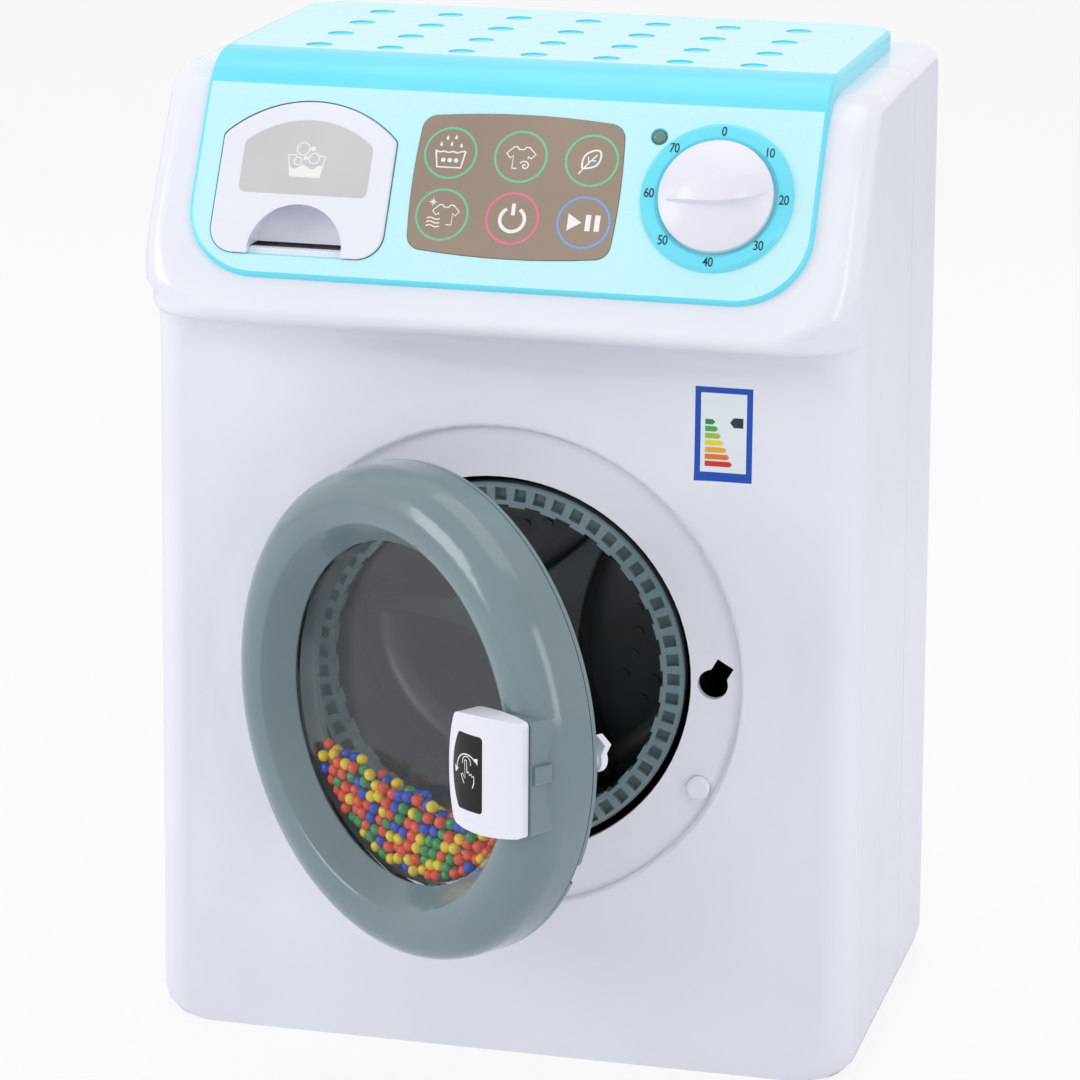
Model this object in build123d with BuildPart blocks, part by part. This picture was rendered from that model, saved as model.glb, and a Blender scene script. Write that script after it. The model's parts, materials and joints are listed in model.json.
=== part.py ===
from build123d import *
from math import cos, hypot, radians, sin, sqrt, tan
import os

os.makedirs("parts", exist_ok=True)

# A toy front-loading washing machine. Millimetres, +Z up, origin at the centre of the base, front towards -Y.

# ---------------------------------------------------------------- driving dimensions
# Case
body_width = 240.0           # across the base
body_depth = 139.0
body_top = 323.0             # flat top of the white case
side_draft = 0.0091          # each side leans in by this much per millimetre of height
wall = 2.4
plan_radius = 11.0           # upright front edges
rear_radius = 9.0            # upright rear edges
foot_radius = 10.0           # lower side edges, seen from the front
top_radius = 5.0             # upper side edges
front_shell_depth = 86.0     # front face to the seam
seam_gap = 0.3

# Slanted console head
slant_angle = 30.0           # console face from the vertical
cove_base = 233.0            # height where the front starts to curve out
cove_height = 15.0
lip_radius = 4.0
lip_reach = 21.07            # foremost line of the head in front of the front face
head_corner = (26.0, 28.0)   # half-axes of the head's front corners, in plan, at the lip
slant_corner = (8.0, 9.0)    # the same higher up the slant
corner_fade = 22.0           # height over which the one becomes the other
bend_radius = 20.0           # from the slant into the top

# Console cover
cover_thickness = 2.0
cover_top = 329.0
cover_half_width = 102.2
cover_bottom = 13.4          # measured up the slant from the lip
cover_corner = 24.0
cover_rear_inset = 4.5       # from the back of the case
cover_rear_corner = 14.0
cover_bend = 22.0
cover_edge = 1.6
cover_skin = 2.2             # of the hollow part over the top
dimple_count = (7, 4)
dimple_pitch = 24.2
dimple_first = 40.6          # first row behind the front face
dimple_radius = 4.4
dimple_depth = 0.5

# Console fittings, across (x) and up the slant (s)
drawer_x = -64.8
drawer_width = 57.6
drawer_bottom = 20.8
drawer_shoulder = 60.5
drawer_peak = 72.7
drawer_corner = 8.5
drawer_gap = 0.45            # round the drawer front
drawer_proud = 0.8
drawer_plate = 2.9           # front plate, along the slide
drawer_travel = 45.0
tray_width = 50.0
tray_bottom = 22.6
tray_top = 46.2
tray_length = 84.0
tray_wall = 1.6
guide_gap = 0.35
arch_half = 15.6
arch_peak = 37.1
arch_depth = 13.0
inlay_half = 21.4
inlay_bottom = 41.0
inlay_shoulder = 58.0
inlay_peak = 66.2
inlay_thickness = 0.9
panel_x = 4.9
panel_s = 47.9
panel_size = (65.5, 44.2)
panel_bulge = (1.2, 2.0)     # of the sides, and of the top and bottom
panel_corner = 5.0
panel_thickness = 1.5
panel_recess = 1.2
dial_x = 70.1
dial_s = 47.8
dial_ring_radius = 24.5
dial_ring_height = 1.6
knob_radius = 18.3
knob_lift = 0.3
knob_edge = 3.0
knob_height = 8.4
grip_half_length = 16.4
grip_half_width = 4.6
grip_height = 12.6
grip_angle = 22.0            # above the horizontal at rest
shaft_radius = 3.0
shaft_clearance = 0.05
timer_radius = 17.0
timer_depth = 20.0
lamp_x = 49.1
lamp_s = 67.2
lamp_radius = 2.3
lamp_sink = 2.85

# Door opening and drum
door_height = 134.2          # drum and door axis above the base
hole_radius = 64.3
recess_radius = 81.0
ridge_height = 2.25
ridge_radius = 98.0
tub_clearance = 0.6
tub_wall = 1.4
tub_depth = 70.0             # front face to the back of the tub
drum_ring_outer = 61.8
drum_ring_inner = 53.9
drum_ring_front = 1.5        # behind the front face
drum_ring_thickness = 5.3
pocket_count = 56
pocket_centre = 58.1
pocket_size = (4.2, 3.9)
pocket_depth = 3.0
tab_count = 32
drum_radius = 60.5
drum_wall = 1.8
drum_back = 60.0             # outside of the drum's back behind the front face
drum_turn = 12.0             # radius between its side and its back
hub_radius = 16.0
hub_front = 48.0
star_tip = 56.0              # arms of the paddle star
star_half_width = 3.4
star_waist = 17.0
star_height = 17.0
star_angle = 56.0
bump_radius = 2.2
bump_height = 1.1
axle_radius = 3.0
bush_radius = 6.0
gear_module = 1.0
drum_gear_teeth = 60
pinion_teeth = 10
gear_width = 5.0
gear_backlash = 0.22
mesh_clearance = 0.15
motor_radius = 12.0
motor_length = 30.0

# Latch hole and door button in the front panel
latch_x = 71.5
keyhole_radius = 5.0
keyhole_slot = 3.05          # half width
keyhole_reach = 8.3
keyhole_angle = 30.0         # right of straight up
latch_clearance = 0.5
button_x = 67.5
button_z = 99.0
button_radius = 3.9
button_proud = 2.5
button_travel = 2.2
guide_clearance = 0.1

# Door
door_open_angle = 35.0       # at rest
door_radius = 79.5
door_ring_mid = 67.36        # middle radius of the rounded ring
door_ring_round = 12.14
door_crease = 62.0
door_wall = 2.2
door_rim = 55.5              # clear opening
door_rim_front = 2.2
door_seam = -8.4
door_back = -11.1
door_gap = 0.6               # between the closed door and the recess floor
window_thickness = 2.0
window_dome = 2.6            # height of its bulge
bead_size = 4.1
bead_gap = 0.3
hinge_x = 76.0
hinge_out = 9.5              # hinge axis in front of the front face
knuckle_radius = 3.5
hinge_arm = 5.0
hinge_half = 9.0
hinge_lug = 4.5
pin_radius = 1.2
handle_left = 46.4
handle_right = 75.5
handle_half = 18.2
handle_back = 13.9
boss_top = 13.6
latch_radius = 3.0

# Back of the case
post_radius = 4.2
screw_radius = 1.5
post_x = 104.0
post_heights = (22.0, 165.0, 300.0)
cell_radius = 7.15
cell_length = 50.0
cell_pitch = 15.2
battery_z = 46.0
battery_depth = 18.5
battery_wall = 1.8
speaker_x = 62.0
speaker_z = 232.0
speaker_radius = 18.0
switch_x = -66.0
switch_z = 46.0
switch_travel = 5.0

# ---------------------------------------------------------------- planes and axes
front_y = -body_depth / 2
back_y = body_depth / 2
seam_y = front_y + front_shell_depth
slant_x = sin(radians(slant_angle))
slant_z = cos(radians(slant_angle))
cove_reach = lip_reach - lip_radius
lip_z = cove_base + cove_height + lip_radius

# White slant: touches the lip's round, leans back at slant_angle.
slant_y = front_y - cove_reach - lip_radius * slant_z - (lip_radius * slant_x) * tan(radians(slant_angle))
cover_y = slant_y - cover_thickness / slant_z


def slant_line(z):
    """y of the white slant at height z."""
    return slant_y + (z - lip_z) * tan(radians(slant_angle))


def bend_centre(top, radius, base_y):
    """y of the centre of a bend of this radius between a slant through base_y and a flat top."""
    corner_y = base_y + (top - lip_z) * tan(radians(slant_angle))
    return corner_y + radius * tan(radians((90 - slant_angle) / 2))


bend_y = bend_centre(body_top, bend_radius, slant_y)
cover_bend_y = bend_centre(cover_top, cover_bend, cover_y)

front_face = Plane(origin=(0, front_y, door_height), x_dir=(1, 0, 0), z_dir=(0, -1, 0))
front_view = Plane(origin=(0, front_y, 0), x_dir=(1, 0, 0), z_dir=(0, -1, 0))
back_view = Plane(origin=(0, back_y, 0), x_dir=(1, 0, 0), z_dir=(0, -1, 0))
console_face = Plane(origin=(0, cover_y, lip_z), x_dir=(1, 0, 0), z_dir=(0, -slant_z, slant_x))
drum_section = Plane(origin=(0, front_y, door_height), x_dir=(1, 0, 0), z_dir=(0, 0, 1))
drum_axis = Axis((0, front_y, door_height), (0, 1, 0))

door_mid = door_gap - door_back - hinge_out      # door's middle plane in front of the hinge axis
open_cos = cos(radians(door_open_angle))
open_sin = sin(radians(door_open_angle))
door_centre = (
    -hinge_x + hinge_x * open_cos - door_mid * open_sin,
    front_y - hinge_out - hinge_x * open_sin - door_mid * open_cos,
    door_height,
)
door_x = (open_cos, -open_sin, 0)
door_normal = (-open_sin, -open_cos, 0)
door_face = Plane(origin=door_centre, x_dir=door_x, z_dir=door_normal)
door_section = Plane(origin=door_centre, x_dir=door_x, z_dir=(0, 0, -1))
door_axis = Axis(door_centre, door_normal)


def save(piece, name):
    piece.part.label = name
    export_step(piece.part, f"parts/{name}.step")


# ---------------------------------------------------------------- case
def case_half_width(z, inset):
    """Half the case width at height z, rounded at the foot and the top."""
    half = body_width / 2 - side_draft * z - inset
    if z < foot_radius:
        round_off = foot_radius - inset
        half -= round_off - sqrt(max(round_off**2 - (foot_radius - z) ** 2, 0))
    if z > body_top - top_radius:
        round_off = top_radius - inset
        half -= round_off - sqrt(max(round_off**2 - (z - body_top + top_radius) ** 2, 0))
    return half


def foot_heights(inset):
    reach = foot_radius - inset
    return [foot_radius - reach * cos(radians(a)) for a in (0, 30, 60, 90)]


def case_stations(inset):
    """Height, front line and corner half-axes of the front shell from foot to top, inset from its outside."""
    plain = (plan_radius, plan_radius)
    stations = [(z, inset, plain) for z in foot_heights(inset)]
    for a in (0, 18, 36, 54, 72, 90):
        z = cove_base + (cove_height + inset) * sin(radians(a))
        out = (cove_reach + inset) * (1 - cos(radians(a)))
        share = out / (cove_reach + inset)
        corner = [p + (h - p) * share for p, h in zip(plain, head_corner)]
        stations.append((z, inset - out, corner))
    round_off = lip_radius - inset
    for a in (-60, -30, 0, 30):
        z = lip_z + round_off * sin(radians(a))
        stations.append((z, -cove_reach - round_off * cos(radians(a)), head_corner))
    start = stations[-1][0]
    for share in (0.2, 0.4, 0.6, 0.8, 1.0):
        z = start + corner_fade * share
        blend = sqrt(1 - (1 - share) ** 2)
        corner = [h + (s - h) * blend for h, s in zip(head_corner, slant_corner)]
        stations.append((z, slant_line(z) - front_y + inset / slant_z, corner))
    round_off = bend_radius - inset
    for a in (slant_angle, 46, 60, 74, 90):
        z = body_top - bend_radius + round_off * sin(radians(a))
        stations.append((z, bend_y - front_y - round_off * cos(radians(a)), slant_corner))
    return stations


def case_outline(z, front, half, corner_x, corner_y, back):
    with BuildSketch(Plane.XY.offset(z)) as outline:
        with BuildLine():
            Line((corner_x - half, front), (half - corner_x, front))
            EllipticalCenterArc((half - corner_x, front + corner_y), corner_x, corner_y, -90, arc_size=90)
            Line((half, front + corner_y), (half, back))
            Line((half, back), (-half, back))
            Line((-half, back), (-half, front + corner_y))
            EllipticalCenterArc((corner_x - half, front + corner_y), corner_x, corner_y, 180, arc_size=90)
        make_face()
    return outline.sketch


def front_block(inset, back):
    sections = []
    for z, front, (corner_x, corner_y) in case_stations(inset):
        half = case_half_width(z, inset)
        sections.append(case_outline(z, front_y + front, half, corner_x - inset, corner_y - inset, back))
    return sections


def rear_outline(z, inset, front):
    half = case_half_width(z, inset)
    corner = rear_radius - inset
    back = back_y - inset
    with BuildSketch(Plane.XY.offset(z)) as outline:
        with BuildLine():
            Line((-half, front), (half, front))
            Line((half, front), (half, back - corner))
            CenterArc((half - corner, back - corner), corner, 0, 90)
            Line((half - corner, back), (corner - half, back))
            CenterArc((corner - half, back - corner), corner, 90, 90)
            Line((-half, back - corner), (-half, front))
        make_face()
    return outline.sketch


def rear_block(inset, front):
    heights = foot_heights(inset)
    reach = top_radius - inset
    heights += [body_top - top_radius + reach * sin(radians(a)) for a in (0, 30, 60, 90)]
    return [rear_outline(z, inset, front) for z in heights]


def drawer_outline(grow):
    """Front of the drawer on the console face, with its arched top."""
    half = drawer_width / 2 + grow
    with BuildSketch(console_face) as outline:
        with BuildLine():
            Polyline(
                (drawer_x - half, drawer_shoulder + grow / 2),
                (drawer_x - half, drawer_bottom - grow),
                (drawer_x + half, drawer_bottom - grow),
                (drawer_x + half, drawer_shoulder + grow / 2),
            )
            ThreePointArc(
                (drawer_x + half, drawer_shoulder + grow / 2),
                (drawer_x, drawer_peak + grow),
                (drawer_x - half, drawer_shoulder + grow / 2),
            )
        make_face()
        fillet(outline.vertices().group_by(Axis.Y)[0], drawer_corner + grow)
        fillet(outline.vertices().group_by(Axis.Y)[-1], 3.0)
    return outline.sketch


def tray_outline(grow, top):
    with BuildSketch(console_face) as outline:
        with Locations((drawer_x, (tray_bottom - grow + top) / 2)):
            Rectangle(tray_width + 2 * grow, top - tray_bottom + grow)
    return outline.sketch


def panel_outline(grow):
    """Touch panel: a rounded rectangle whose four sides bulge."""
    left = panel_x - panel_size[0] / 2 - grow
    right = panel_x + panel_size[0] / 2 + grow
    low = panel_s - panel_size[1] / 2 - grow
    high = panel_s + panel_size[1] / 2 + grow
    side, end = panel_bulge
    with BuildSketch(console_face) as outline:
        with BuildLine():
            ThreePointArc((left, high), (panel_x, high + end), (right, high))
            ThreePointArc((right, high), (right + side, panel_s), (right, low))
            ThreePointArc((right, low), (panel_x, low - end), (left, low))
            ThreePointArc((left, low), (left - side, panel_s), (left, high))
        make_face()
        fillet(outline.vertices(), panel_corner + grow)
    return outline.sketch


def keyhole_outline(plane, shrink):
    """Round hole with one slot pointing keyhole_angle right of up."""
    with BuildSketch(plane) as outline:
        with Locations((latch_x, 0)):
            Circle(keyhole_radius - shrink)
        with Locations(Location((latch_x, 0), -keyhole_angle)):
            with Locations((0, (keyhole_reach - shrink) / 2)):
                Rectangle(2 * (keyhole_slot - shrink), keyhole_reach - shrink)
    return outline.sketch


# Window in the white slant behind the touch panel and the dial
board_window = (-31.0, 92.0, 22.0, 69.4)

with BuildPart() as front_shell:
    loft(sections=front_block(0, seam_y), ruled=True)
    loft(sections=front_block(wall, seam_y + 1), ruled=True, mode=Mode.SUBTRACT)
    # raised rim round the door recess, falling away to the panel
    with BuildSketch(drum_section):
        with BuildLine():
            Line((recess_radius, wall / 2), (recess_radius, -ridge_height + 0.8))
            ThreePointArc(
                (recess_radius, -ridge_height + 0.8),
                (recess_radius + 0.5, -ridge_height + 0.2),
                (recess_radius + 1.8, -ridge_height),
            )
            ThreePointArc(
                (recess_radius + 1.8, -ridge_height),
                ((recess_radius + ridge_radius) / 2 + 1.5, -ridge_height * 0.48),
                (ridge_radius, 0),
            )
            Polyline((ridge_radius, 0), (ridge_radius, wall / 2), (recess_radius, wall / 2))
        make_face()
    revolve(axis=drum_axis)
    # screw posts from the front wall back to the seam
    with BuildSketch(front_view.offset(-front_shell_depth)):
        with Locations(*[(x, z) for x in (-post_x, post_x) for z in post_heights[:2]]):
            Circle(post_radius)
    extrude(amount=front_shell_depth - wall / 2)
    with BuildSketch(front_view.offset(-front_shell_depth)):
        with Locations((-post_x, post_heights[2]), (post_x, post_heights[2])):
            Circle(post_radius)
    extrude(amount=seam_y - slant_line(post_heights[2] + post_radius) - wall / 4)
    with BuildSketch(front_view.offset(-front_shell_depth)):
        with Locations(*[(x, z) for x in (-post_x, post_x) for z in post_heights]):
            Circle(screw_radius + shaft_clearance)
    extrude(amount=12, mode=Mode.SUBTRACT)
    # posts that carry the door switch
    with BuildSketch(front_view.offset(-wall / 2)):
        with Locations((button_x, button_z - 8.5), (button_x, button_z + 8.5)):
            Circle(2)
    extrude(amount=-(9.5 - wall / 2))
    # hinge bracket
    with BuildSketch(Plane.XY.offset(door_height - hinge_half)):
        with Locations((-hinge_x, front_y - hinge_out)):
            Circle(knuckle_radius)
        with Locations((-hinge_x, front_y + (wall / 2 - hinge_out) / 2)):
            Rectangle(hinge_arm, hinge_out + wall / 2)
        with Locations((-hinge_x, front_y - hinge_out)):
            Circle(pin_radius + shaft_clearance, mode=Mode.SUBTRACT)
    extrude(amount=2 * hinge_half)
    # openings
    with BuildSketch(front_face):
        Circle(hole_radius)
    extrude(amount=-2 * wall, mode=Mode.SUBTRACT)
    extrude(keyhole_outline(front_face, 0), amount=-2 * wall, mode=Mode.SUBTRACT)
    with BuildSketch(front_view):
        with Locations((button_x, button_z)):
            Circle(button_radius + guide_clearance)
    extrude(amount=-2 * wall, mode=Mode.SUBTRACT)
    with BuildSketch(console_face):
        left, right, low, high = board_window
        with Locations(((left + right) / 2, (low + high) / 2)):
            RectangleRounded(right - left, high - low, 4)
    extrude(amount=-(cover_thickness + 2 * wall), mode=Mode.SUBTRACT)
    extrude(tray_outline(guide_gap, tray_top + guide_gap), amount=4 * wall, dir=(0, 1, 0), mode=Mode.SUBTRACT)

save(front_shell, "front_shell")

# Opening for the cells in the back: three cells side by side
box_width = 3 * cell_pitch + 1.2 + 2 * battery_wall
box_height = cell_length + 5.0 + 2 * battery_wall
speaker_hole_pitch = 5.0
cover_screw_z = battery_z + cell_length / 2 + 2.4

with BuildPart() as rear_shell:
    loft(sections=rear_block(0, seam_y + seam_gap), ruled=True)
    loft(sections=rear_block(wall, seam_y - 1), ruled=True, mode=Mode.SUBTRACT)
    # screw tubes, sunk from the back
    with BuildSketch(back_view.offset(-wall / 2)):
        with Locations(*[(x, z) for x in (-post_x, post_x) for z in post_heights]):
            Circle(post_radius + 1)
    extrude(amount=back_y - wall / 2 - seam_y - seam_gap)
    with BuildSketch(back_view):
        with Locations(*[(x, z) for x in (-post_x, post_x) for z in post_heights]):
            Circle(post_radius - 0.8)
    extrude(amount=back_y - seam_y - seam_gap - 3, mode=Mode.SUBTRACT)
    with BuildSketch(back_view):
        with Locations(*[(x, z) for x in (-post_x, post_x) for z in post_heights]):
            Circle(screw_radius + 0.15)
    extrude(amount=back_y - seam_y, mode=Mode.SUBTRACT)
    # opening of the battery box, square at its lower corners so that the cover can
    # tilt out, grille of the speaker, slot of the switch
    with BuildSketch(back_view):
        with Locations((0, battery_z)):
            RectangleRounded(box_width + 0.6, box_height + 0.6, 2.3)
        with Locations((0, battery_z - (box_height + 0.6) / 4)):
            Rectangle(box_width + 0.6, (box_height + 0.6) / 2)
    extrude(amount=2 * wall, mode=Mode.SUBTRACT)
    with BuildSketch(back_view):
        with Locations((speaker_x, speaker_z)):
            with HexLocations(speaker_hole_pitch / 2, 5, 5):
                Circle(1.25)
    extrude(amount=2 * wall, mode=Mode.SUBTRACT)
    with BuildSketch(back_view):
        with Locations((switch_x, switch_z)):
            Rectangle(switch_travel + 6.4, 4.6)
    extrude(amount=2 * wall, mode=Mode.SUBTRACT)

save(rear_shell, "rear_shell")

with BuildPart() as shell_screws:
    with BuildSketch(front_view.offset(-front_shell_depth - seam_gap - 3)):
        with Locations(*[(x, z) for x in (-post_x, post_x) for z in post_heights]):
            Circle(post_radius - 1.3)
    extrude(amount=-1.8)
    with BuildSketch(front_view.offset(-front_shell_depth - seam_gap - 3)):
        with Locations(*[(x, z) for x in (-post_x, post_x) for z in post_heights]):
            Circle(screw_radius)
    extrude(amount=12)

save(shell_screws, "shell_screws")

# ---------------------------------------------------------------- console cover
with BuildPart() as console_cover:
    # side profile of the cover as a block, carried well below its skin
    with BuildSketch(Plane.YZ) as cover_profile:
        with BuildLine():
            low_y = cover_y + cover_bottom * slant_x
            low_z = lip_z + cover_bottom * slant_z
            crease_y = cover_bend_y - cover_bend * slant_z
            crease_z = cover_top - cover_bend + cover_bend * slant_x
            rear_y = back_y - cover_rear_inset
            Line((low_y, low_z), (crease_y, crease_z))
            ThreePointArc(
                (crease_y, crease_z),
                (cover_bend_y - cover_bend * sin(radians(30)), cover_top - cover_bend + cover_bend * cos(radians(30))),
                (cover_bend_y, cover_top),
            )
            Polyline(
                (cover_bend_y, cover_top),
                (rear_y, cover_top),
                (rear_y, body_top),
                (rear_y, low_z - 40),
                (low_y + 10, low_z - 40),
                (low_y + 10 * slant_z, low_z - 10 * slant_x),
                (low_y, low_z),
            )
        make_face()
    extrude(amount=cover_half_width, both=True)
    # rounded lower corners, seen square to the slant
    with BuildSketch(console_face.offset(20)) as lower_trim:
        with Locations((0, cover_bottom + 150)):
            Rectangle(2 * cover_half_width, 300)
        fillet(lower_trim.vertices().group_by(Axis.Y)[0], cover_corner)
    extrude(amount=-200, mode=Mode.INTERSECT)
    # rounded rear corners, seen from above
    with BuildSketch(Plane.XY.offset(low_z - 60)) as rear_trim:
        with Locations((0, rear_y - 100)):
            Rectangle(2 * cover_half_width, 200)
        fillet(rear_trim.vertices().group_by(Axis.Y)[-1], cover_rear_corner)
    extrude(amount=200, mode=Mode.INTERSECT)
    skin = [f for f in console_cover.faces() if f.normal_at().Z > 0.3]
    skin_edges = [e for f in skin for e in f.edges()]
    fillet([e for e in skin_edges if sum(e.is_same(o) for o in skin_edges) == 1], cover_edge)
    # the underside follows the white slant, bend and top
    with BuildSketch(Plane.YZ):
        with BuildLine():
            core_y = bend_y - bend_radius * slant_z
            core_z = body_top - bend_radius + bend_radius * slant_x
            Line((slant_line(low_z - 60), low_z - 60), (core_y, core_z))
            ThreePointArc(
                (core_y, core_z),
                (bend_y - bend_radius * sin(radians(30)), body_top - bend_radius + bend_radius * cos(radians(30))),
                (bend_y, body_top),
            )
            Polyline(
                (bend_y, body_top),
                (rear_y + 20, body_top),
                (rear_y + 20, low_z - 60),
                (slant_line(low_z - 60), low_z - 60),
            )
        make_face()
    extrude(amount=cover_half_width + 10, both=True, mode=Mode.SUBTRACT)
    # hollow under the flat top
    with BuildSketch(Plane.XY.offset(body_top)) as hollow:
        with Locations((0, (bend_y + 2 + rear_y - cover_skin) / 2)):
            Rectangle(2 * (cover_half_width - cover_skin), rear_y - cover_skin - bend_y - 2)
        fillet(hollow.vertices().group_by(Axis.Y)[-1], cover_rear_corner - cover_skin)
    extrude(amount=cover_top - body_top - cover_skin, mode=Mode.SUBTRACT)
    # rows of round dimples on the top
    with BuildSketch(Plane.XY.offset(cover_top)):
        with Locations((0, front_y + dimple_first + (dimple_count[1] - 1) * dimple_pitch / 2)):
            with GridLocations(dimple_pitch, dimple_pitch, *dimple_count):
                Circle(dimple_radius)
    extrude(amount=-dimple_depth, mode=Mode.SUBTRACT)
    # openings for the drawer, the touch panel, the dial's shaft and the lamp
    extrude(drawer_outline(drawer_gap), amount=30, dir=(0, 1, 0), both=True, mode=Mode.SUBTRACT)
    extrude(panel_outline(0.15), amount=-panel_recess, mode=Mode.SUBTRACT)
    with BuildSketch(console_face):
        with Locations((dial_x, dial_s)):
            Circle(shaft_radius + 0.3)
        with Locations((lamp_x, lamp_s)):
            Circle(lamp_radius + 0.08)
    extrude(amount=-4 * cover_thickness, mode=Mode.SUBTRACT)
    with BuildSketch(console_face):
        with Locations((lamp_x, lamp_s)):
            Circle(lamp_sink)
    extrude(amount=-0.9, taper=35, mode=Mode.SUBTRACT)
    # standoffs of the circuit board
    with BuildSketch(console_face.offset(-cover_thickness)):
        with Locations((panel_x - 26, panel_s - 16), (panel_x + 26, panel_s - 16),
                       (panel_x - 26, panel_s + 16), (panel_x + 26, panel_s + 16)):
            Circle(2)
    extrude(amount=-1.2)

save(console_cover, "console_cover")

with BuildPart() as touch_panel:
    extrude(panel_outline(0), amount=-panel_recess)
    extrude(panel_outline(0), amount=panel_thickness - panel_recess)
    top_edges = touch_panel.faces().sort_by(Axis((0, 0, 0), console_face.z_dir))[-1].edges()
    chamfer(top_edges, 0.2)

save(touch_panel, "touch_panel")

with BuildPart() as circuit_board:
    with BuildSketch(console_face.offset(-cover_thickness - 1.2)):
        with Locations((panel_x + 2, panel_s - 1)):
            RectangleRounded(66, 42, 2)
    extrude(amount=-1.6)
    with BuildSketch(console_face.offset(-cover_thickness - 2.8)):
        with Locations((panel_x - 8, panel_s)):
            Rectangle(9, 9)
        with Locations((panel_x + 18, panel_s + 8)):
            Rectangle(6, 12)
    extrude(amount=-2)

save(circuit_board, "circuit_board")

with BuildPart() as power_light:
    with BuildSketch(console_face.offset(-cover_thickness)):
        with Locations((lamp_x, lamp_s)):
            Circle(lamp_radius)
    extrude(amount=cover_thickness + 0.6)
    fillet(power_light.edges().sort_by(Axis((0, 0, 0), console_face.z_dir))[-1], lamp_radius * 0.7)

save(power_light, "power_light")

# ---------------------------------------------------------------- dial
dial_point = console_face.from_local_coords((dial_x, dial_s, 0))
dial_section = Plane(origin=dial_point, x_dir=(1, 0, 0), z_dir=(0, -slant_x, -slant_z))
dial_axis = Axis(dial_point, console_face.z_dir)

with BuildPart() as dial_ring:
    with BuildSketch(dial_section):
        with BuildLine():
            Polyline(
                (knob_radius + 0.5, 0),
                (knob_radius + 0.5, 0.6),
                (knob_radius + 1.6, dial_ring_height),
                (dial_ring_radius - 1.2, dial_ring_height),
                (dial_ring_radius, dial_ring_height - 1.0),
                (dial_ring_radius, 0),
                close=True,
            )
        make_face()
    revolve(axis=dial_axis)

save(dial_ring, "dial_ring")


def dome_outline(edge_radius, edge_height, top):
    """Half section of a dome that is level at its middle."""
    rise = top - edge_height
    sphere = (edge_radius**2 + rise**2) / (2 * rise)
    mid = edge_radius * 0.55
    with BuildSketch(dial_section) as outline:
        with BuildLine():
            Line((0, knob_lift), (edge_radius, knob_lift))
            Line((edge_radius, knob_lift), (edge_radius, edge_height))
            ThreePointArc(
                (edge_radius, edge_height),
                (mid, top - sphere + sqrt(sphere**2 - mid**2)),
                (0, top),
            )
            Line((0, top), (0, knob_lift))
        make_face()
    return outline.sketch


with BuildPart() as knob_grip:
    with BuildSketch(Plane(dial_point, console_face.x_dir, console_face.z_dir).rotated((0, 0, grip_angle))):
        with BuildLine():
            ThreePointArc((-grip_half_length, 0), (0, grip_half_width), (grip_half_length, 0))
            ThreePointArc((grip_half_length, 0), (0, -grip_half_width), (-grip_half_length, 0))
        make_face()
    extrude(amount=grip_height + 2)
    revolve(dome_outline(grip_half_length + 0.6, knob_edge + 0.6, grip_height), axis=dial_axis, mode=Mode.INTERSECT)

with BuildPart() as timer_knob:
    revolve(dome_outline(knob_radius, knob_edge, knob_height), axis=dial_axis)
    add(knob_grip.part)
    with BuildSketch(Plane(dial_point, console_face.x_dir, console_face.z_dir).offset(knob_lift)):
        Circle(shaft_radius)
    extrude(amount=-(knob_lift + cover_thickness + 12))

save(timer_knob, "timer_knob")

with BuildPart() as timer_unit:
    with BuildSketch(Plane(dial_point, console_face.x_dir, console_face.z_dir).offset(-cover_thickness)):
        Circle(timer_radius)
        Circle(shaft_radius + shaft_clearance, mode=Mode.SUBTRACT)
    extrude(amount=-14)
    with BuildSketch(Plane(dial_point, console_face.x_dir, console_face.z_dir).offset(-cover_thickness - 14)):
        Circle(timer_radius)
    extrude(amount=-(timer_depth - 14))

save(timer_unit, "timer_unit")

# ---------------------------------------------------------------- soap drawer
with BuildPart() as drawer_inlay:
    with BuildSketch(console_face.offset(drawer_proud + 0.1)) as inlay_outline:
        with BuildLine():
            Polyline(
                (drawer_x - inlay_half, inlay_shoulder),
                (drawer_x - inlay_half, inlay_bottom),
                (drawer_x + inlay_half, inlay_bottom),
                (drawer_x + inlay_half, inlay_shoulder),
            )
            ThreePointArc(
                (drawer_x + inlay_half, inlay_shoulder),
                (drawer_x, inlay_peak),
                (drawer_x - inlay_half, inlay_shoulder),
            )
        make_face()
        fillet(inlay_outline.vertices(), 2.2)
    extrude(amount=-inlay_thickness)

save(drawer_inlay, "drawer_inlay")

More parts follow.
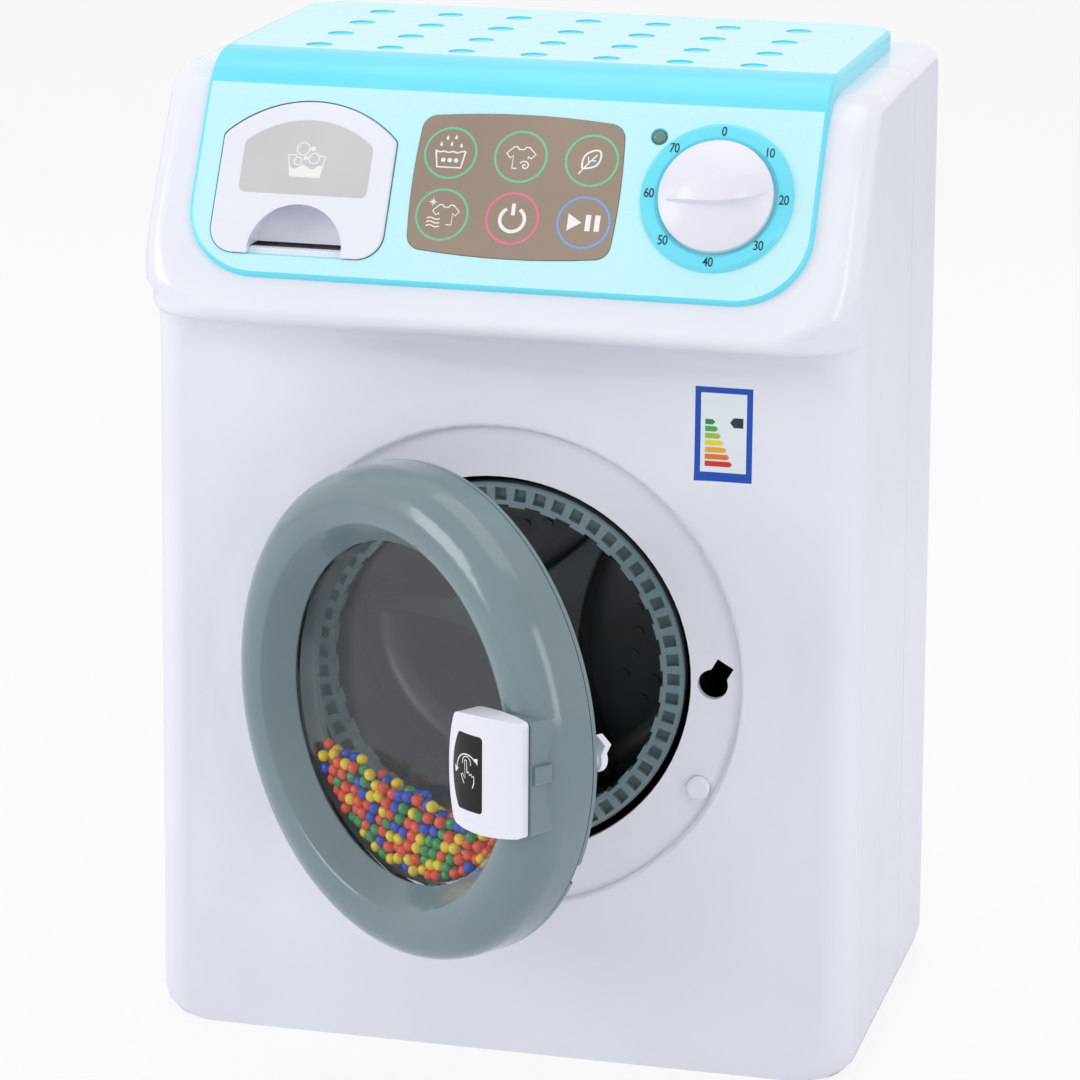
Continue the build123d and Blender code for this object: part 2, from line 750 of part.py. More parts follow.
with BuildPart() as soap_drawer:
    extrude(drawer_outline(0), amount=drawer_plate - drawer_proud / slant_z, dir=(0, 1, 0))
    extrude(drawer_outline(0), amount=drawer_proud / slant_z, dir=(0, -1, 0))
    front_edges = soap_drawer.faces().sort_by(Axis((0, 0, 0), console_face.z_dir))[-1].edges()
    chamfer(front_edges, 0.5)
    # tray behind the front, open upwards, clear of the finger pull
    extrude(tray_outline(0, tray_top), amount=tray_length, dir=(0, 1, 0))
    tray_start = arch_depth + tray_wall
    with BuildSketch(Plane((0, cover_y + tray_start, lip_z), console_face.x_dir, console_face.z_dir)) as bowl:
        tray_floor = tray_bottom + tray_wall / slant_z
        with Locations((drawer_x, (tray_floor + drawer_peak) / 2)):
            RectangleRounded(tray_width - 2 * tray_wall, drawer_peak - tray_floor, 3)
    extrude(bowl.sketch, amount=tray_length - tray_start - tray_wall, dir=(0, 1, 0), mode=Mode.SUBTRACT)
    # arched finger pull under the front
    with BuildSketch(console_face.offset(drawer_proud + 1)) as arch:
        with BuildLine():
            Line((drawer_x + arch_half, drawer_bottom - 2), (drawer_x - arch_half, drawer_bottom - 2))
            ThreePointArc(
                (drawer_x - arch_half, drawer_bottom - 2),
                (drawer_x, arch_peak),
                (drawer_x + arch_half, drawer_bottom - 2),
            )
        make_face()
    extrude(amount=arch_depth, dir=(0, 1, 0), mode=Mode.SUBTRACT)
    add(drawer_inlay.part, mode=Mode.SUBTRACT)

save(soap_drawer, "soap_drawer")

with BuildPart() as drawer_guide:
    # channel that the tray slides in, seated on the inside of the white slant
    guide_length = tray_length - 6
    with BuildSketch(console_face.offset(-cover_thickness - wall)):
        channel_half = tray_width / 2 + guide_gap
        with BuildLine():
            Polyline(
                (drawer_x - channel_half - 1.6, tray_top + 4),
                (drawer_x - channel_half - 1.6, tray_bottom - guide_gap - 1.8),
                (drawer_x + channel_half + 1.6, tray_bottom - guide_gap - 1.8),
                (drawer_x + channel_half + 1.6, tray_top + 4),
                (drawer_x + channel_half, tray_top + 4),
                (drawer_x + channel_half, tray_bottom - guide_gap),
                (drawer_x - channel_half, tray_bottom - guide_gap),
                (drawer_x - channel_half, tray_top + 4),
                close=True,
            )
        make_face()
    extrude(amount=guide_length, dir=(0, 1, 0))

save(drawer_guide, "drawer_guide")

# ---------------------------------------------------------------- tub, drum and drive
tub_inner = hole_radius + tub_clearance
tub_outer = tub_inner + tub_wall
tub_floor = 2.0

with BuildPart() as drum_tub:
    with BuildSketch(drum_section):
        with BuildLine():
            Polyline(
                (tub_inner, wall),
                (tub_outer, wall),
                (tub_outer, tub_depth),
                (bush_radius, tub_depth),
                (bush_radius, tub_depth - 6),
                (bush_radius + 3, tub_depth - 6),
                (bush_radius + 3, tub_depth - tub_floor),
                (tub_inner, tub_depth - tub_floor),
                close=True,
            )
        make_face()
    revolve(axis=drum_axis)

save(drum_tub, "drum_tub")

bush_front = drum_back + 2.3
bush_rear = tub_depth + 2.2

with BuildPart() as drum_bearing:
    with BuildSketch(drum_section):
        with BuildLine():
            Polyline(
                (axle_radius + shaft_clearance, bush_front),
                (bush_radius - shaft_clearance, bush_front),
                (bush_radius - shaft_clearance, tub_depth),
                (bush_radius + 2, tub_depth),
                (bush_radius + 2, bush_rear),
                (axle_radius + shaft_clearance, bush_rear),
                close=True,
            )
        make_face()
    revolve(axis=drum_axis)

save(drum_bearing, "drum_bearing")

drum_front = drum_ring_front + drum_ring_thickness

with BuildPart() as drum_shell:
    with BuildSketch(drum_section):
        with BuildLine():
            inner = drum_radius - drum_wall
            floor = drum_back - drum_wall
            turn_in = drum_turn - drum_wall
            Line((inner, drum_front), (drum_radius, drum_front))
            Line((drum_radius, drum_front), (drum_radius, drum_back - drum_turn))
            CenterArc((drum_radius - drum_turn, drum_back - drum_turn), drum_turn, 0, 90)
            Polyline(
                (drum_radius - drum_turn, drum_back),
                (axle_radius + 4, drum_back),
                (axle_radius + 4, drum_back + 2),
                (axle_radius + shaft_clearance, drum_back + 2),
                (axle_radius + shaft_clearance, hub_front + 4),
                (0, hub_front + 4),
                (0, hub_front),
            )
            ThreePointArc((0, hub_front), (hub_radius * 0.5, hub_front + 1.4), (hub_radius * 0.75, hub_front + 4))
            Line((hub_radius * 0.75, hub_front + 4), (hub_radius, floor))
            Line((hub_radius, floor), (drum_radius - drum_turn, floor))
            CenterArc((drum_radius - drum_turn, drum_back - drum_turn), turn_in, 90, -90)
            Line((inner, drum_back - drum_turn), (inner, drum_front))
        make_face()
    revolve(axis=drum_axis)

with BuildPart() as paddle_star:
    # three arms with hollow sides, low at the hub and joined to the side wall
    with BuildSketch(front_face.offset(-(drum_back - drum_wall / 2))) as star:
        half_angle = star_half_width / star_tip * 180 / 3.14159265
        with BuildLine():
            for k in range(3):
                a = radians(star_angle + 120 * k + half_angle)
                b = radians(star_angle + 120 * k + 60)
                c = radians(star_angle + 120 * (k + 1) - half_angle)
                d = radians(star_angle + 120 * (k + 1) + half_angle)
                ThreePointArc(
                    (star_tip * cos(a), star_tip * sin(a)),
                    (star_waist * cos(b), star_waist * sin(b)),
                    (star_tip * cos(c), star_tip * sin(c)),
                )
                Line((star_tip * cos(c), star_tip * sin(c)), (star_tip * cos(d), star_tip * sin(d)))
        make_face()
    extrude(amount=star_height)
    fillet(paddle_star.faces().sort_by(Axis.Y)[0].edges(), 2.2)
    # keep it inside the drum's bowl
    with BuildSketch(drum_section):
        with BuildLine():
            Line((0, 0), (drum_radius - drum_wall / 2, 0))
            Line((drum_radius - drum_wall / 2, 0), (drum_radius - drum_wall / 2, drum_back - drum_turn))
            CenterArc((drum_radius - drum_turn, drum_back - drum_turn), drum_turn - drum_wall / 2, 0, 90)
            Line((drum_radius - drum_turn, drum_back - drum_wall / 2), (0, drum_back - drum_wall / 2))
            Line((0, drum_back - drum_wall / 2), (0, 0))
        make_face()
    revolve(axis=drum_axis, mode=Mode.INTERSECT)

with drum_shell:
    add(paddle_star.part)
    with BuildSketch(drum_section):
        with BuildLine():
            Polyline(
                (0, hub_front + 4),
                (axle_radius + shaft_clearance, hub_front + 4),
                (axle_radius + shaft_clearance, drum_back + 3),
                (0, drum_back + 3),
                close=True,
            )
        make_face()
    revolve(axis=drum_axis, mode=Mode.SUBTRACT)
    with BuildSketch(front_face.offset(-(drum_back - drum_wall - bump_height))):
        for k in range(3):
            middle = star_angle + 60 + 120 * k
            for ring, steps in ((33, (-28, -14, 0, 14, 28)), (43, (-33, -22, -11, 0, 11, 22, 33))):
                for step in steps:
                    a = radians(middle + step)
                    with Locations((ring * cos(a), ring * sin(a))):
                        RegularPolygon(bump_radius, 8)
    extrude(amount=-(bump_height + drum_wall / 2))

save(drum_shell, "drum_shell")

with BuildPart() as drum_ring:
    with BuildSketch(front_face.offset(-drum_ring_front)) as ring_face:
        Circle(drum_ring_outer)
        Circle(drum_ring_inner, mode=Mode.SUBTRACT)
        with PolarLocations(drum_ring_inner, tab_count):
            Rectangle(1.4, 5.2, mode=Mode.SUBTRACT)
    extrude(amount=-drum_ring_thickness)
    chamfer(drum_ring.edges().filter_by(GeomType.CIRCLE).filter_by(lambda e: e.radius > drum_ring_outer - 0.1)
            .sort_by(Axis.Y)[0], 0.6)
    with BuildSketch(front_face.offset(-drum_ring_front)):
        with PolarLocations(pocket_centre, pocket_count):
            Rectangle(*pocket_size)
    extrude(amount=-pocket_depth, mode=Mode.SUBTRACT)

save(drum_ring, "drum_ring")

gear_front = bush_rear + 0.3
gear_rear = gear_front + gear_width
axle_end = gear_rear + 2.5

with BuildPart() as drum_axle:
    with BuildSketch(front_face.offset(-(hub_front + 4.2))):
        Circle(axle_radius)
    extrude(amount=-(axle_end - hub_front - 4.2))

save(drum_axle, "drum_axle")

with BuildPart() as axle_clip:
    with BuildSketch(front_face.offset(-gear_rear)):
        Circle(axle_radius + 2.2)
        Circle(axle_radius + shaft_clearance, mode=Mode.SUBTRACT)
    extrude(amount=-1.4)

save(axle_clip, "axle_clip")


def gear_outline(teeth, bore, phase, centre_z, depth):
    """Spur gear face: trapezoid teeth on the pitch circle, thinned by the backlash."""
    pitch = teeth * gear_module / 2
    root = pitch - 1.25 * gear_module
    tip = pitch + 0.92 * gear_module
    half_pitch = (3.14159265 * gear_module / 2 - gear_backlash) / 2
    half_tip = half_pitch - 0.92 * gear_module * tan(radians(22))
    half_root = half_pitch + 0.95 * gear_module * tan(radians(12))
    points = []
    for k in range(teeth):
        middle = phase + 360 * k / teeth
        for radius, half in ((root, -half_root), (pitch, -half_pitch), (tip, -half_tip),
                             (tip, half_tip), (pitch, half_pitch), (root, half_root)):
            a = radians(middle) + half / radius
            points.append((radius * cos(a), centre_z + radius * sin(a)))
    with BuildSketch(front_face.offset(-depth)) as outline:
        with BuildLine():
            Polyline(*points, close=True)
        make_face()
        if bore > 0:
            with Locations((0, centre_z)):
                Circle(bore, mode=Mode.SUBTRACT)
    return outline.sketch


gear_centres = gear_module * (drum_gear_teeth + pinion_teeth) / 2 + mesh_clearance

with BuildPart() as drum_gear:
    extrude(gear_outline(drum_gear_teeth, axle_radius + shaft_clearance, 90, 0, gear_front), amount=-gear_width)
    with BuildSketch(front_face.offset(-gear_front - 1.6)):
        Circle(drum_gear_teeth * gear_module / 2 - 4)
        Circle(axle_radius + 4, mode=Mode.SUBTRACT)
    extrude(amount=-gear_width, mode=Mode.SUBTRACT)

save(drum_gear, "drum_gear")

motor_front = gear_rear + 4.1

with BuildPart() as motor_pinion:
    half_tooth = 180 / pinion_teeth
    extrude(gear_outline(pinion_teeth, 0, 90 + half_tooth, -gear_centres, gear_front), amount=-gear_width)
    with BuildSketch(front_face.offset(-gear_rear)):
        with Locations((0, -gear_centres)):
            Circle(1.2)
    extrude(amount=-(motor_front + 5 - gear_rear))

save(motor_pinion, "motor_pinion")

bracket_front = motor_front - 1.6

with BuildPart() as motor_bracket:
    with BuildSketch(front_face.offset(-bracket_front)) as bracket_face:
        with Locations((-20, -gear_centres - 12), (20, -gear_centres - 12)):
            Circle(4.5)
        with Locations((0, -gear_centres)):
            Circle(motor_radius)
        make_hull()
        with Locations((0, -gear_centres)):
            Circle(3.5, mode=Mode.SUBTRACT)
    extrude(amount=-(motor_front - bracket_front))
    with BuildSketch(front_face.offset(-tub_depth)):
        with Locations((-20, -gear_centres - 12), (20, -gear_centres - 12)):
            Circle(3.2)
    extrude(amount=-(bracket_front - tub_depth))

save(motor_bracket, "motor_bracket")

with BuildPart() as drive_motor:
    with BuildSketch(front_face.offset(-motor_front)):
        with Locations((0, -gear_centres)):
            Circle(motor_radius)
    extrude(amount=-motor_length)
    with BuildSketch(front_face.offset(-motor_front)):
        with Locations((0, -gear_centres)):
            Circle(1.2 + shaft_clearance)
    extrude(amount=-6, mode=Mode.SUBTRACT)

save(drive_motor, "drive_motor")

# ---------------------------------------------------------------- door button
flange_front = wall + 0.1
flange_thickness = 1.4
switch_front = 9.5

with BuildPart() as door_button:
    with BuildSketch(front_view.offset(button_proud)):
        with Locations((button_x, button_z)):
            Circle(button_radius)
    extrude(amount=-(button_proud + flange_front))
    fillet(door_button.edges().sort_by(Axis.Y)[0], 1.0)
    with BuildSketch(front_view.offset(-flange_front)):
        with Locations((button_x, button_z)):
            Circle(button_radius + 1.4)
    extrude(amount=-flange_thickness)
    with BuildSketch(front_view.offset(-flange_front - flange_thickness)):
        with Locations((button_x, button_z)):
            Circle(1.5)
    extrude(amount=-(switch_front + 2.5 - flange_front - flange_thickness))

save(door_button, "door_button")

with BuildPart() as door_switch:
    with BuildSketch(front_view.offset(-switch_front)):
        with Locations((button_x, button_z)):
            RectangleRounded(11, 22, 1)
            Circle(1.5 + guide_clearance, mode=Mode.SUBTRACT)
    extrude(amount=-6)
    with BuildSketch(front_view.offset(-switch_front - 6)):
        with Locations((button_x, button_z)):
            RectangleRounded(11, 22, 1)
    extrude(amount=-3)

save(door_switch, "door_switch")

# ---------------------------------------------------------------- door
def hinge_block(half_height, reach_in, front):
    """Room for the hinge in the door's left edge, from its back round to its outer side."""
    with BuildSketch(Plane(door_centre, door_x, (0, 0, 1)).offset(-half_height)) as room:
        with Locations((-(hinge_x + door_radius + 2) / 2 + reach_in / 2, (14 - front) / 2)):
            Rectangle(door_radius + 2 - hinge_x + reach_in, 14 + front)
    return room.sketch


hinge_w = -door_mid
notch_front = 1.8
crease_w = sqrt(door_ring_round**2 - (door_crease - door_ring_mid) ** 2)
inner_round = door_ring_round - door_wall
inner_crease = door_crease + 1.75
inner_crease_w = sqrt(inner_round**2 - (inner_crease - door_ring_mid) ** 2)
rim_under = door_rim_front - 0.5

with BuildPart() as door_ring_front:
    with BuildSketch(door_section):
        with BuildLine():
            Line((door_radius, door_seam), (door_radius, 0))
            ThreePointArc(
                (door_radius, 0),
                (door_ring_mid + door_ring_round * cos(radians(60)), door_ring_round * sin(radians(60))),
                (door_crease, crease_w),
            )
            Polyline(
                (door_crease, crease_w),
                (door_rim, door_rim_front),
                (door_rim, rim_under),
                (door_rim + 3.7, rim_under),
                (inner_crease, inner_crease_w),
            )
            ThreePointArc(
                (inner_crease, inner_crease_w),
                (door_ring_mid + inner_round * cos(radians(60)), inner_round * sin(radians(60))),
                (door_ring_mid + inner_round, 0),
            )
            Polyline(
                (door_ring_mid + inner_round, 0),
                (door_ring_mid + inner_round, door_seam),
                (door_radius, door_seam),
            )
        make_face()
    revolve(axis=door_axis)
    # boss under the handle
    with BuildSketch(door_face.offset(boss_top)) as boss:
        with Locations(((door_crease + 2.2 + handle_right + 1.2) / 2, 0)):
            RectangleRounded(handle_right + 1.2 - door_crease - 2.2, 2 * handle_half, 2)
    extrude(amount=-(boss_top - inner_crease_w + 4))
    with BuildSketch(door_section):
        with BuildLine():
            ThreePointArc(
                (inner_crease, inner_crease_w),
                (door_ring_mid + inner_round * cos(radians(60)), inner_round * sin(radians(60))),
                (door_ring_mid + inner_round, 0),
            )
            Polyline(
                (door_ring_mid + inner_round, 0),
                (door_ring_mid + inner_round, door_seam),
                (door_rim + 3.7, door_seam),
                (door_rim + 3.7, rim_under),
                (inner_crease, inner_crease_w),
            )
        make_face()
    revolve(axis=door_axis, mode=Mode.SUBTRACT)
    # small lug on the boss beside the pivot
    with BuildSketch(door_face.offset(boss_top - 0.6)):
        with Locations((handle_right + 1.4, 1.5)):
            RectangleRounded(3.2, 6, 1)
    extrude(amount=-6)
    # screw bosses
    with BuildSketch(door_face.offset(door_seam - seam_gap)):
        with PolarLocations(door_ring_mid, 4, start_angle=45):
            Circle(3.6)
    extrude(amount=door_ring_round - door_seam - door_wall / 2 - 1)
    with BuildSketch(door_face.offset(door_seam - seam_gap)):
        with PolarLocations(door_ring_mid, 4, start_angle=45):
            Circle(1.25 + shaft_clearance)
    extrude(amount=8, mode=Mode.SUBTRACT)
    # shaft of the latch
    with BuildSketch(door_face.offset(boss_top + 1)):
        with Locations((latch_x, 0)):
            Circle(latch_radius + shaft_clearance)
    extrude(amount=-(boss_top + 1), mode=Mode.SUBTRACT)
    extrude(hinge_block(hinge_half + hinge_lug + 1.0, 4.4, notch_front), amount=2 * (hinge_half + hinge_lug + 1.0),
            mode=Mode.SUBTRACT)

save(door_ring_front, "door_ring_front")

wall_inner = door_rim + 1.1
wall_outer = door_rim + 3.1
window_back = rim_under - window_thickness

with BuildPart() as door_ring_rear:
    with BuildSketch(door_section):
        with BuildLine():
            Polyline(
                (wall_inner, door_back),
                (door_radius - 1.2, door_back),
                (door_radius, door_back + 1.0),
                (door_radius, door_seam - seam_gap),
                (wall_outer, door_seam - seam_gap),
                (wall_outer, window_back),
                (wall_inner, window_back),
                close=True,
            )
        make_face()
    revolve(axis=door_axis)
    # bearing of the latch shaft
    with BuildSketch(door_face.offset(door_seam - seam_gap)):
        with Locations((latch_x, 0)):
            Circle(latch_radius + 2.2)
    extrude(amount=-(door_seam - seam_gap) + 2.5)
    with BuildSketch(door_face.offset(door_back)):
        with Locations((latch_x, 0)):
            Circle(latch_radius + shaft_clearance)
    extrude(amount=20, mode=Mode.SUBTRACT)
    # screw holes, with sunk heads
    with BuildSketch(door_face.offset(door_back)):
        with PolarLocations(door_ring_mid, 4, start_angle=45):
            Circle(1.25 + 0.15)
    extrude(amount=5, mode=Mode.SUBTRACT)
    with BuildSketch(door_face.offset(door_back)):
        with PolarLocations(door_ring_mid, 4, start_angle=45):
            Circle(2.7)
    extrude(amount=1.2, mode=Mode.SUBTRACT)
    # dimple that takes the door button
    with BuildSketch(door_face.offset(door_back)):
        with Locations((button_x, button_z - door_height)):
            Circle(button_radius + 1.2)
    extrude(amount=button_proud - door_gap + 0.4, mode=Mode.SUBTRACT)
    extrude(hinge_block(hinge_half + 0.5, 3.4, notch_front), amount=2 * (hinge_half + 0.5), mode=Mode.SUBTRACT)
    # hinge lugs above and below the bracket
    for start in (hinge_half + 0.5, -hinge_half - 0.5 - hinge_lug):
        with BuildSketch(Plane(door_centre, door_x, (0, 0, 1)).offset(start)) as lug:
            with Locations((-hinge_x, -hinge_w)):
                Circle(knuckle_radius - 0.1)
            with Locations((-hinge_x + 0.4, (-hinge_w - door_back - 1) / 2)):
                Rectangle(5.4, -door_back - 1 + hinge_w)
            with Locations((-hinge_x, -hinge_w)):
                Circle(pin_radius + shaft_clearance, mode=Mode.SUBTRACT)
        extrude(lug.sketch, amount=hinge_lug)

save(door_ring_rear, "door_ring_rear")

with BuildPart() as door_screws:
    with BuildSketch(door_face.offset(door_back + 1.2)):
        with PolarLocations(door_ring_mid, 4, start_angle=45):
            Circle(2.4)
    extrude(amount=-1.0)
    with BuildSketch(door_face.offset(door_back + 1.2)):
        with PolarLocations(door_ring_mid, 4, start_angle=45):
            Circle(1.25)
    extrude(amount=8)

save(door_screws, "door_screws")

with BuildPart() as hinge_pin:
    with BuildSketch(Plane.XY.offset(door_height - hinge_half - hinge_lug - 0.5)):
        with Locations((-hinge_x, front_y - hinge_out)):
            Circle(pin_radius)
    extrude(amount=2 * (hinge_half + hinge_lug + 0.5))

save(hinge_pin, "hinge_pin")

cup_inner = door_rim - 0.3
cup_floor = door_back + 0.4

with BuildPart() as window_outer:
    with BuildSketch(door_section):
        with BuildLine():
            Line((0, window_back), (wall_outer - 0.2, window_back))
            Line((wall_outer - 0.2, window_back), (wall_outer - 0.2, rim_under))
            Line((wall_outer - 0.2, rim_under), (door_rim - 1, rim_under))
            sphere = ((door_rim - 1) ** 2 + window_dome**2) / (2 * window_dome)
            ThreePointArc(
                (door_rim - 1, rim_under),
                (door_rim / 2, rim_under + window_dome - sphere + sqrt(sphere**2 - (door_rim / 2) ** 2)),
                (0, rim_under + window_dome),
            )
            Line((0, rim_under + window_dome), (0, window_back))
        make_face()
    revolve(axis=door_axis)

save(window_outer, "window_outer")

with BuildPart() as window_inner:
    with BuildSketch(door_section):
        with BuildLine():
            Polyline(
                (0, cup_floor),
                (wall_inner - 0.1, cup_floor),
                (wall_inner - 0.1, window_back - 0.1),
                (cup_inner, window_back - 0.1),
                (cup_inner, cup_floor + 1.5),
                (0, cup_floor + 1.5),
                close=True,
            )
        make_face()
    revolve(axis=door_axis)

save(window_inner, "window_inner")

# Loose beads between the windows, settled at the bottom, in four colours
bead_pitch = bead_size + bead_gap
bead_layers = (cup_floor + 1.5 + 0.3 + bead_size / 2, window_back - 0.3 - bead_size / 2)
bead_sets = {"beads_orange": [], "beads_yellow": [], "beads_green": [], "beads_blue": []}
bead_names = list(bead_sets)
rows = int(2 * cup_inner / (bead_pitch * 0.87)) + 1
for layer, bead_w in enumerate(bead_layers):
    for row in range(rows):
        bead_z = -cup_inner + bead_gap + bead_size / 2 + row * bead_pitch * 0.87
        for column in range(-13, 14):
            bead_u = (column + 0.5 * ((row + layer) % 2)) * bead_pitch
            inside = hypot(bead_u, bead_z) < cup_inner - bead_gap - bead_size / 2
            if inside and bead_z < -25 - 0.12 * bead_u:
                colour = bead_names[(column * 3 + row * 5 + layer * 2 + (column * row) % 3) % 4]
                bead_sets[colour].append((bead_u, bead_z, bead_w))

for name, places in bead_sets.items():
    with BuildPart() as beads:
        for bead_w in bead_layers:
            with BuildSketch(door_face.offset(bead_w)) as bead_row:
                with Locations(*[(u, z) for u, z, w in places if w == bead_w]):
                    RegularPolygon(bead_size / 2, 4, rotation=45)
            extrude(bead_row.sketch, amount=bead_size / 2 - 0.05, taper=30, both=True)
    save(beads, name)

# ---------------------------------------------------------------- handle and latch
handle_front = ((handle_left, 21.0), (60.0, 22.9), (handle_right, 16.4))


def handle_arc(drop):
    points = [(u, w - drop) for u, w in handle_front]
    return points


def handle_block(drop):
    """Section of the handle under its rounded front, extruded up and down the door."""
    points = handle_arc(drop)
    with BuildSketch(door_section.offset(-handle_half - 4)) as block:
        with BuildLine():
            ThreePointArc(*points)
            Polyline(points[2], (handle_right, handle_back), (handle_left, handle_back), points[0])
        make_face()
    return block.sketch


with BuildPart() as inlay_blank:
    extrude(handle_block(0), amount=2 * handle_half + 8)
    extrude(handle_block(0.8), amount=2 * handle_half + 8, mode=Mode.SUBTRACT)
    with BuildSketch(door_face) as inlay_face:
        with BuildLine():
            ThreePointArc((53.4, -12.2), (49.8, 0), (53.4, 12.2))
            Line((53.4, 12.2), (63.7, 12.2))
            Line((63.7, 12.2), (63.7, -12.2))
            Line((63.7, -12.2), (53.4, -12.2))
        make_face()
        fillet(inlay_face.vertices(), 1.2)
    extrude(amount=30, mode=Mode.INTERSECT)

with BuildPart() as handle_inlay:
    add(inlay_blank.part)

save(handle_inlay, "handle_inlay")

with BuildPart() as door_handle:
    extrude(handle_block(0), amount=2 * handle_half + 8)
    with BuildSketch(door_face) as handle_face:
        with BuildLine():
            ThreePointArc((50.6, -handle_half + 0.6), (handle_left, 0), (50.6, handle_half - 0.6))
            ThreePointArc((50.6, handle_half - 0.6), (62, handle_half + 0.6), (handle_right, handle_half))
            Line((handle_right, handle_half), (handle_right, -handle_half))
            ThreePointArc((handle_right, -handle_half), (62, -handle_half - 0.6), (50.6, -handle_half + 0.6))
        make_face()
        fillet(handle_face.vertices().sort_by(Axis.X)[:2], 3.5)
        fillet(handle_face.vertices().sort_by(Axis.X)[-2:], 1.5)
    extrude(amount=30, mode=Mode.INTERSECT)
    add(handle_inlay.part, mode=Mode.SUBTRACT)

save(door_handle, "door_handle")

cam_front = door_back - 3.9
cam_back = door_back - 6.9

with BuildPart() as door_latch:
    with BuildSketch(door_face.offset(handle_back)):
        with Locations((latch_x, 0)):
            Circle(latch_radius)
    extrude(amount=-(handle_back - cam_front))
    extrude(keyhole_outline(door_face.offset(cam_front), latch_clearance), amount=-(cam_front - cam_back))
    chamfer(door_latch.faces().sort_by(door_axis)[0].edges(), 0.6)

save(door_latch, "door_latch")

# ---------------------------------------------------------------- back of the case
box_front = battery_depth + 2.0

with BuildPart() as battery_box:
    with BuildSketch(back_view.offset(-0 + battery_depth + 2)):
        with Locations((0, battery_z)):
            RectangleRounded(box_width, box_height, 2)
    extrude(amount=-(battery_depth))
    with BuildSketch(back_view.offset(wall)):
        with Locations((0, battery_z)):
            RectangleRounded(box_width + 7, box_height + 7, 3)
    extrude(amount=1.6)
    with BuildSketch(back_view.offset(1)):
        with Locations((0, battery_z)):
            RectangleRounded(box_width - 2 * battery_wall, box_height - 2 * battery_wall, 1)
    extrude(amount=battery_depth + 1 - battery_wall, mode=Mode.SUBTRACT)
    # pillar for the cover's screw
    with BuildSketch(back_view.offset(2)):
        with Locations((cell_pitch / 2, cover_screw_z)):
            Circle(2.2)
    extrude(amount=battery_depth - 1)
    with BuildSketch(back_view.offset(1)):
        with Locations((cell_pitch / 2, cover_screw_z)):
            Circle(1.5)
    extrude(amount=8, mode=Mode.SUBTRACT)

save(battery_box, "battery_box")

cell_depth = battery_depth + 2 - battery_wall - cell_radius - 0.15

with BuildPart() as battery_cells:
    with BuildSketch(Plane.XY.offset(battery_z - cell_length / 2)):
        with Locations(*[(x, back_y - cell_depth) for x in (-cell_pitch, 0, cell_pitch)]):
            Circle(cell_radius)
    extrude(amount=cell_length - 1.2)
    with BuildSketch(Plane.XY.offset(battery_z + cell_length / 2 - 1.2)):
        with Locations(*[(x, back_y - cell_depth) for x in (-cell_pitch, 0, cell_pitch)]):
            Circle(2.6)
    extrude(amount=1.2)

save(battery_cells, "battery_cells")

with BuildPart() as battery_contacts:
    for low in (battery_z - box_height / 2 + battery_wall, battery_z + cell_length / 2 + 0.1):
        with BuildSketch(Plane.XY.offset(low)) as contact:
            with Locations(*[(x, back_y - cell_depth) for x in (-cell_pitch, 0, cell_pitch)]):
                Rectangle(7, 7)
        extrude(contact.sketch, amount=(box_height - 2 * battery_wall - cell_length) / 2 - 0.1)

save(battery_contacts, "battery_contacts")

cover_plate = 1.7

with BuildPart() as battery_door:
    with BuildSketch(back_view):
        with Locations((0, battery_z)):
            RectangleRounded(box_width, box_height, 2)
    extrude(amount=cover_plate)
    fillet(battery_door.edges().filter_by(Axis.X).group_by(Axis.Z)[0], cover_plate * 0.49)
    # thumb grip lines
    with BuildSketch(back_view):
        with Locations((0, battery_z - 4)):
            with GridLocations(1, 4, 1, 4):
                Rectangle(18, 1.2)
    extrude(amount=0.5, mode=Mode.SUBTRACT)
    with BuildSketch(back_view):
        with Locations((cell_pitch / 2, cover_screw_z)):
            Circle(1.25)
    extrude(amount=4, mode=Mode.SUBTRACT)
    with BuildSketch(back_view):
        with Locations((cell_pitch / 2, cover_screw_z)):
            Circle(2.4)
    extrude(amount=0.9, mode=Mode.SUBTRACT)

save(battery_door, "battery_door")

with BuildPart() as battery_screw:
    with BuildSketch(back_view.offset(0.1)):
        with Locations((cell_pitch / 2, cover_screw_z)):
            Circle(2.2)
    extrude(amount=0.8)
    with BuildSketch(back_view.offset(0.9)):
        with Locations((cell_pitch / 2, cover_screw_z)):
            Circle(1.15)
    extrude(amount=5.5)

save(battery_screw, "battery_screw")

with BuildPart() as speaker:
    with BuildSketch(back_view.offset(wall)):
        with Locations((speaker_x, speaker_z)):
            Circle(speaker_radius)
    extrude(amount=5)
    with BuildSketch(back_view.offset(wall + 5)):
        with Locations((speaker_x, speaker_z)):
            Circle(speaker_radius * 0.6)
    extrude(amount=7)
    with BuildSketch(back_view.offset(wall)):
        with Locations((speaker_x, speaker_z)):
            Circle(speaker_radius - 3)
    extrude(amount=3, taper=20, mode=Mode.SUBTRACT)

save(speaker, "speaker")

with BuildPart() as switch_housing:
    with BuildSketch(back_view.offset(wall)):
        with Locations((switch_x, switch_z)):
            Rectangle(switch_travel + 12, 10)
            Rectangle(switch_travel + 6.4, 4.6, mode=Mode.SUBTRACT)
    extrude(amount=4)
    with BuildSketch(back_view.offset(wall + 4)):
        with Locations((switch_x, switch_z)):
            Rectangle(switch_travel + 12, 10)
    extrude(amount=3)

save(switch_housing, "switch_housing")

with BuildPart() as power_switch:
    with BuildSketch(back_view.offset(-0.8)):
        with Locations((switch_x - switch_travel / 2, switch_z)):
            Rectangle(5.8, 4.4)
    extrude(amount=wall + 0.8 + 3.9)
    with BuildSketch(back_view.offset(-0.8)):
        with Locations((switch_x - switch_travel / 2, switch_z)):
            with GridLocations(1.6, 1, 3, 1):
                Rectangle(0.7, 4.4)
    extrude(amount=0.5, mode=Mode.SUBTRACT)

save(power_switch, "power_switch")
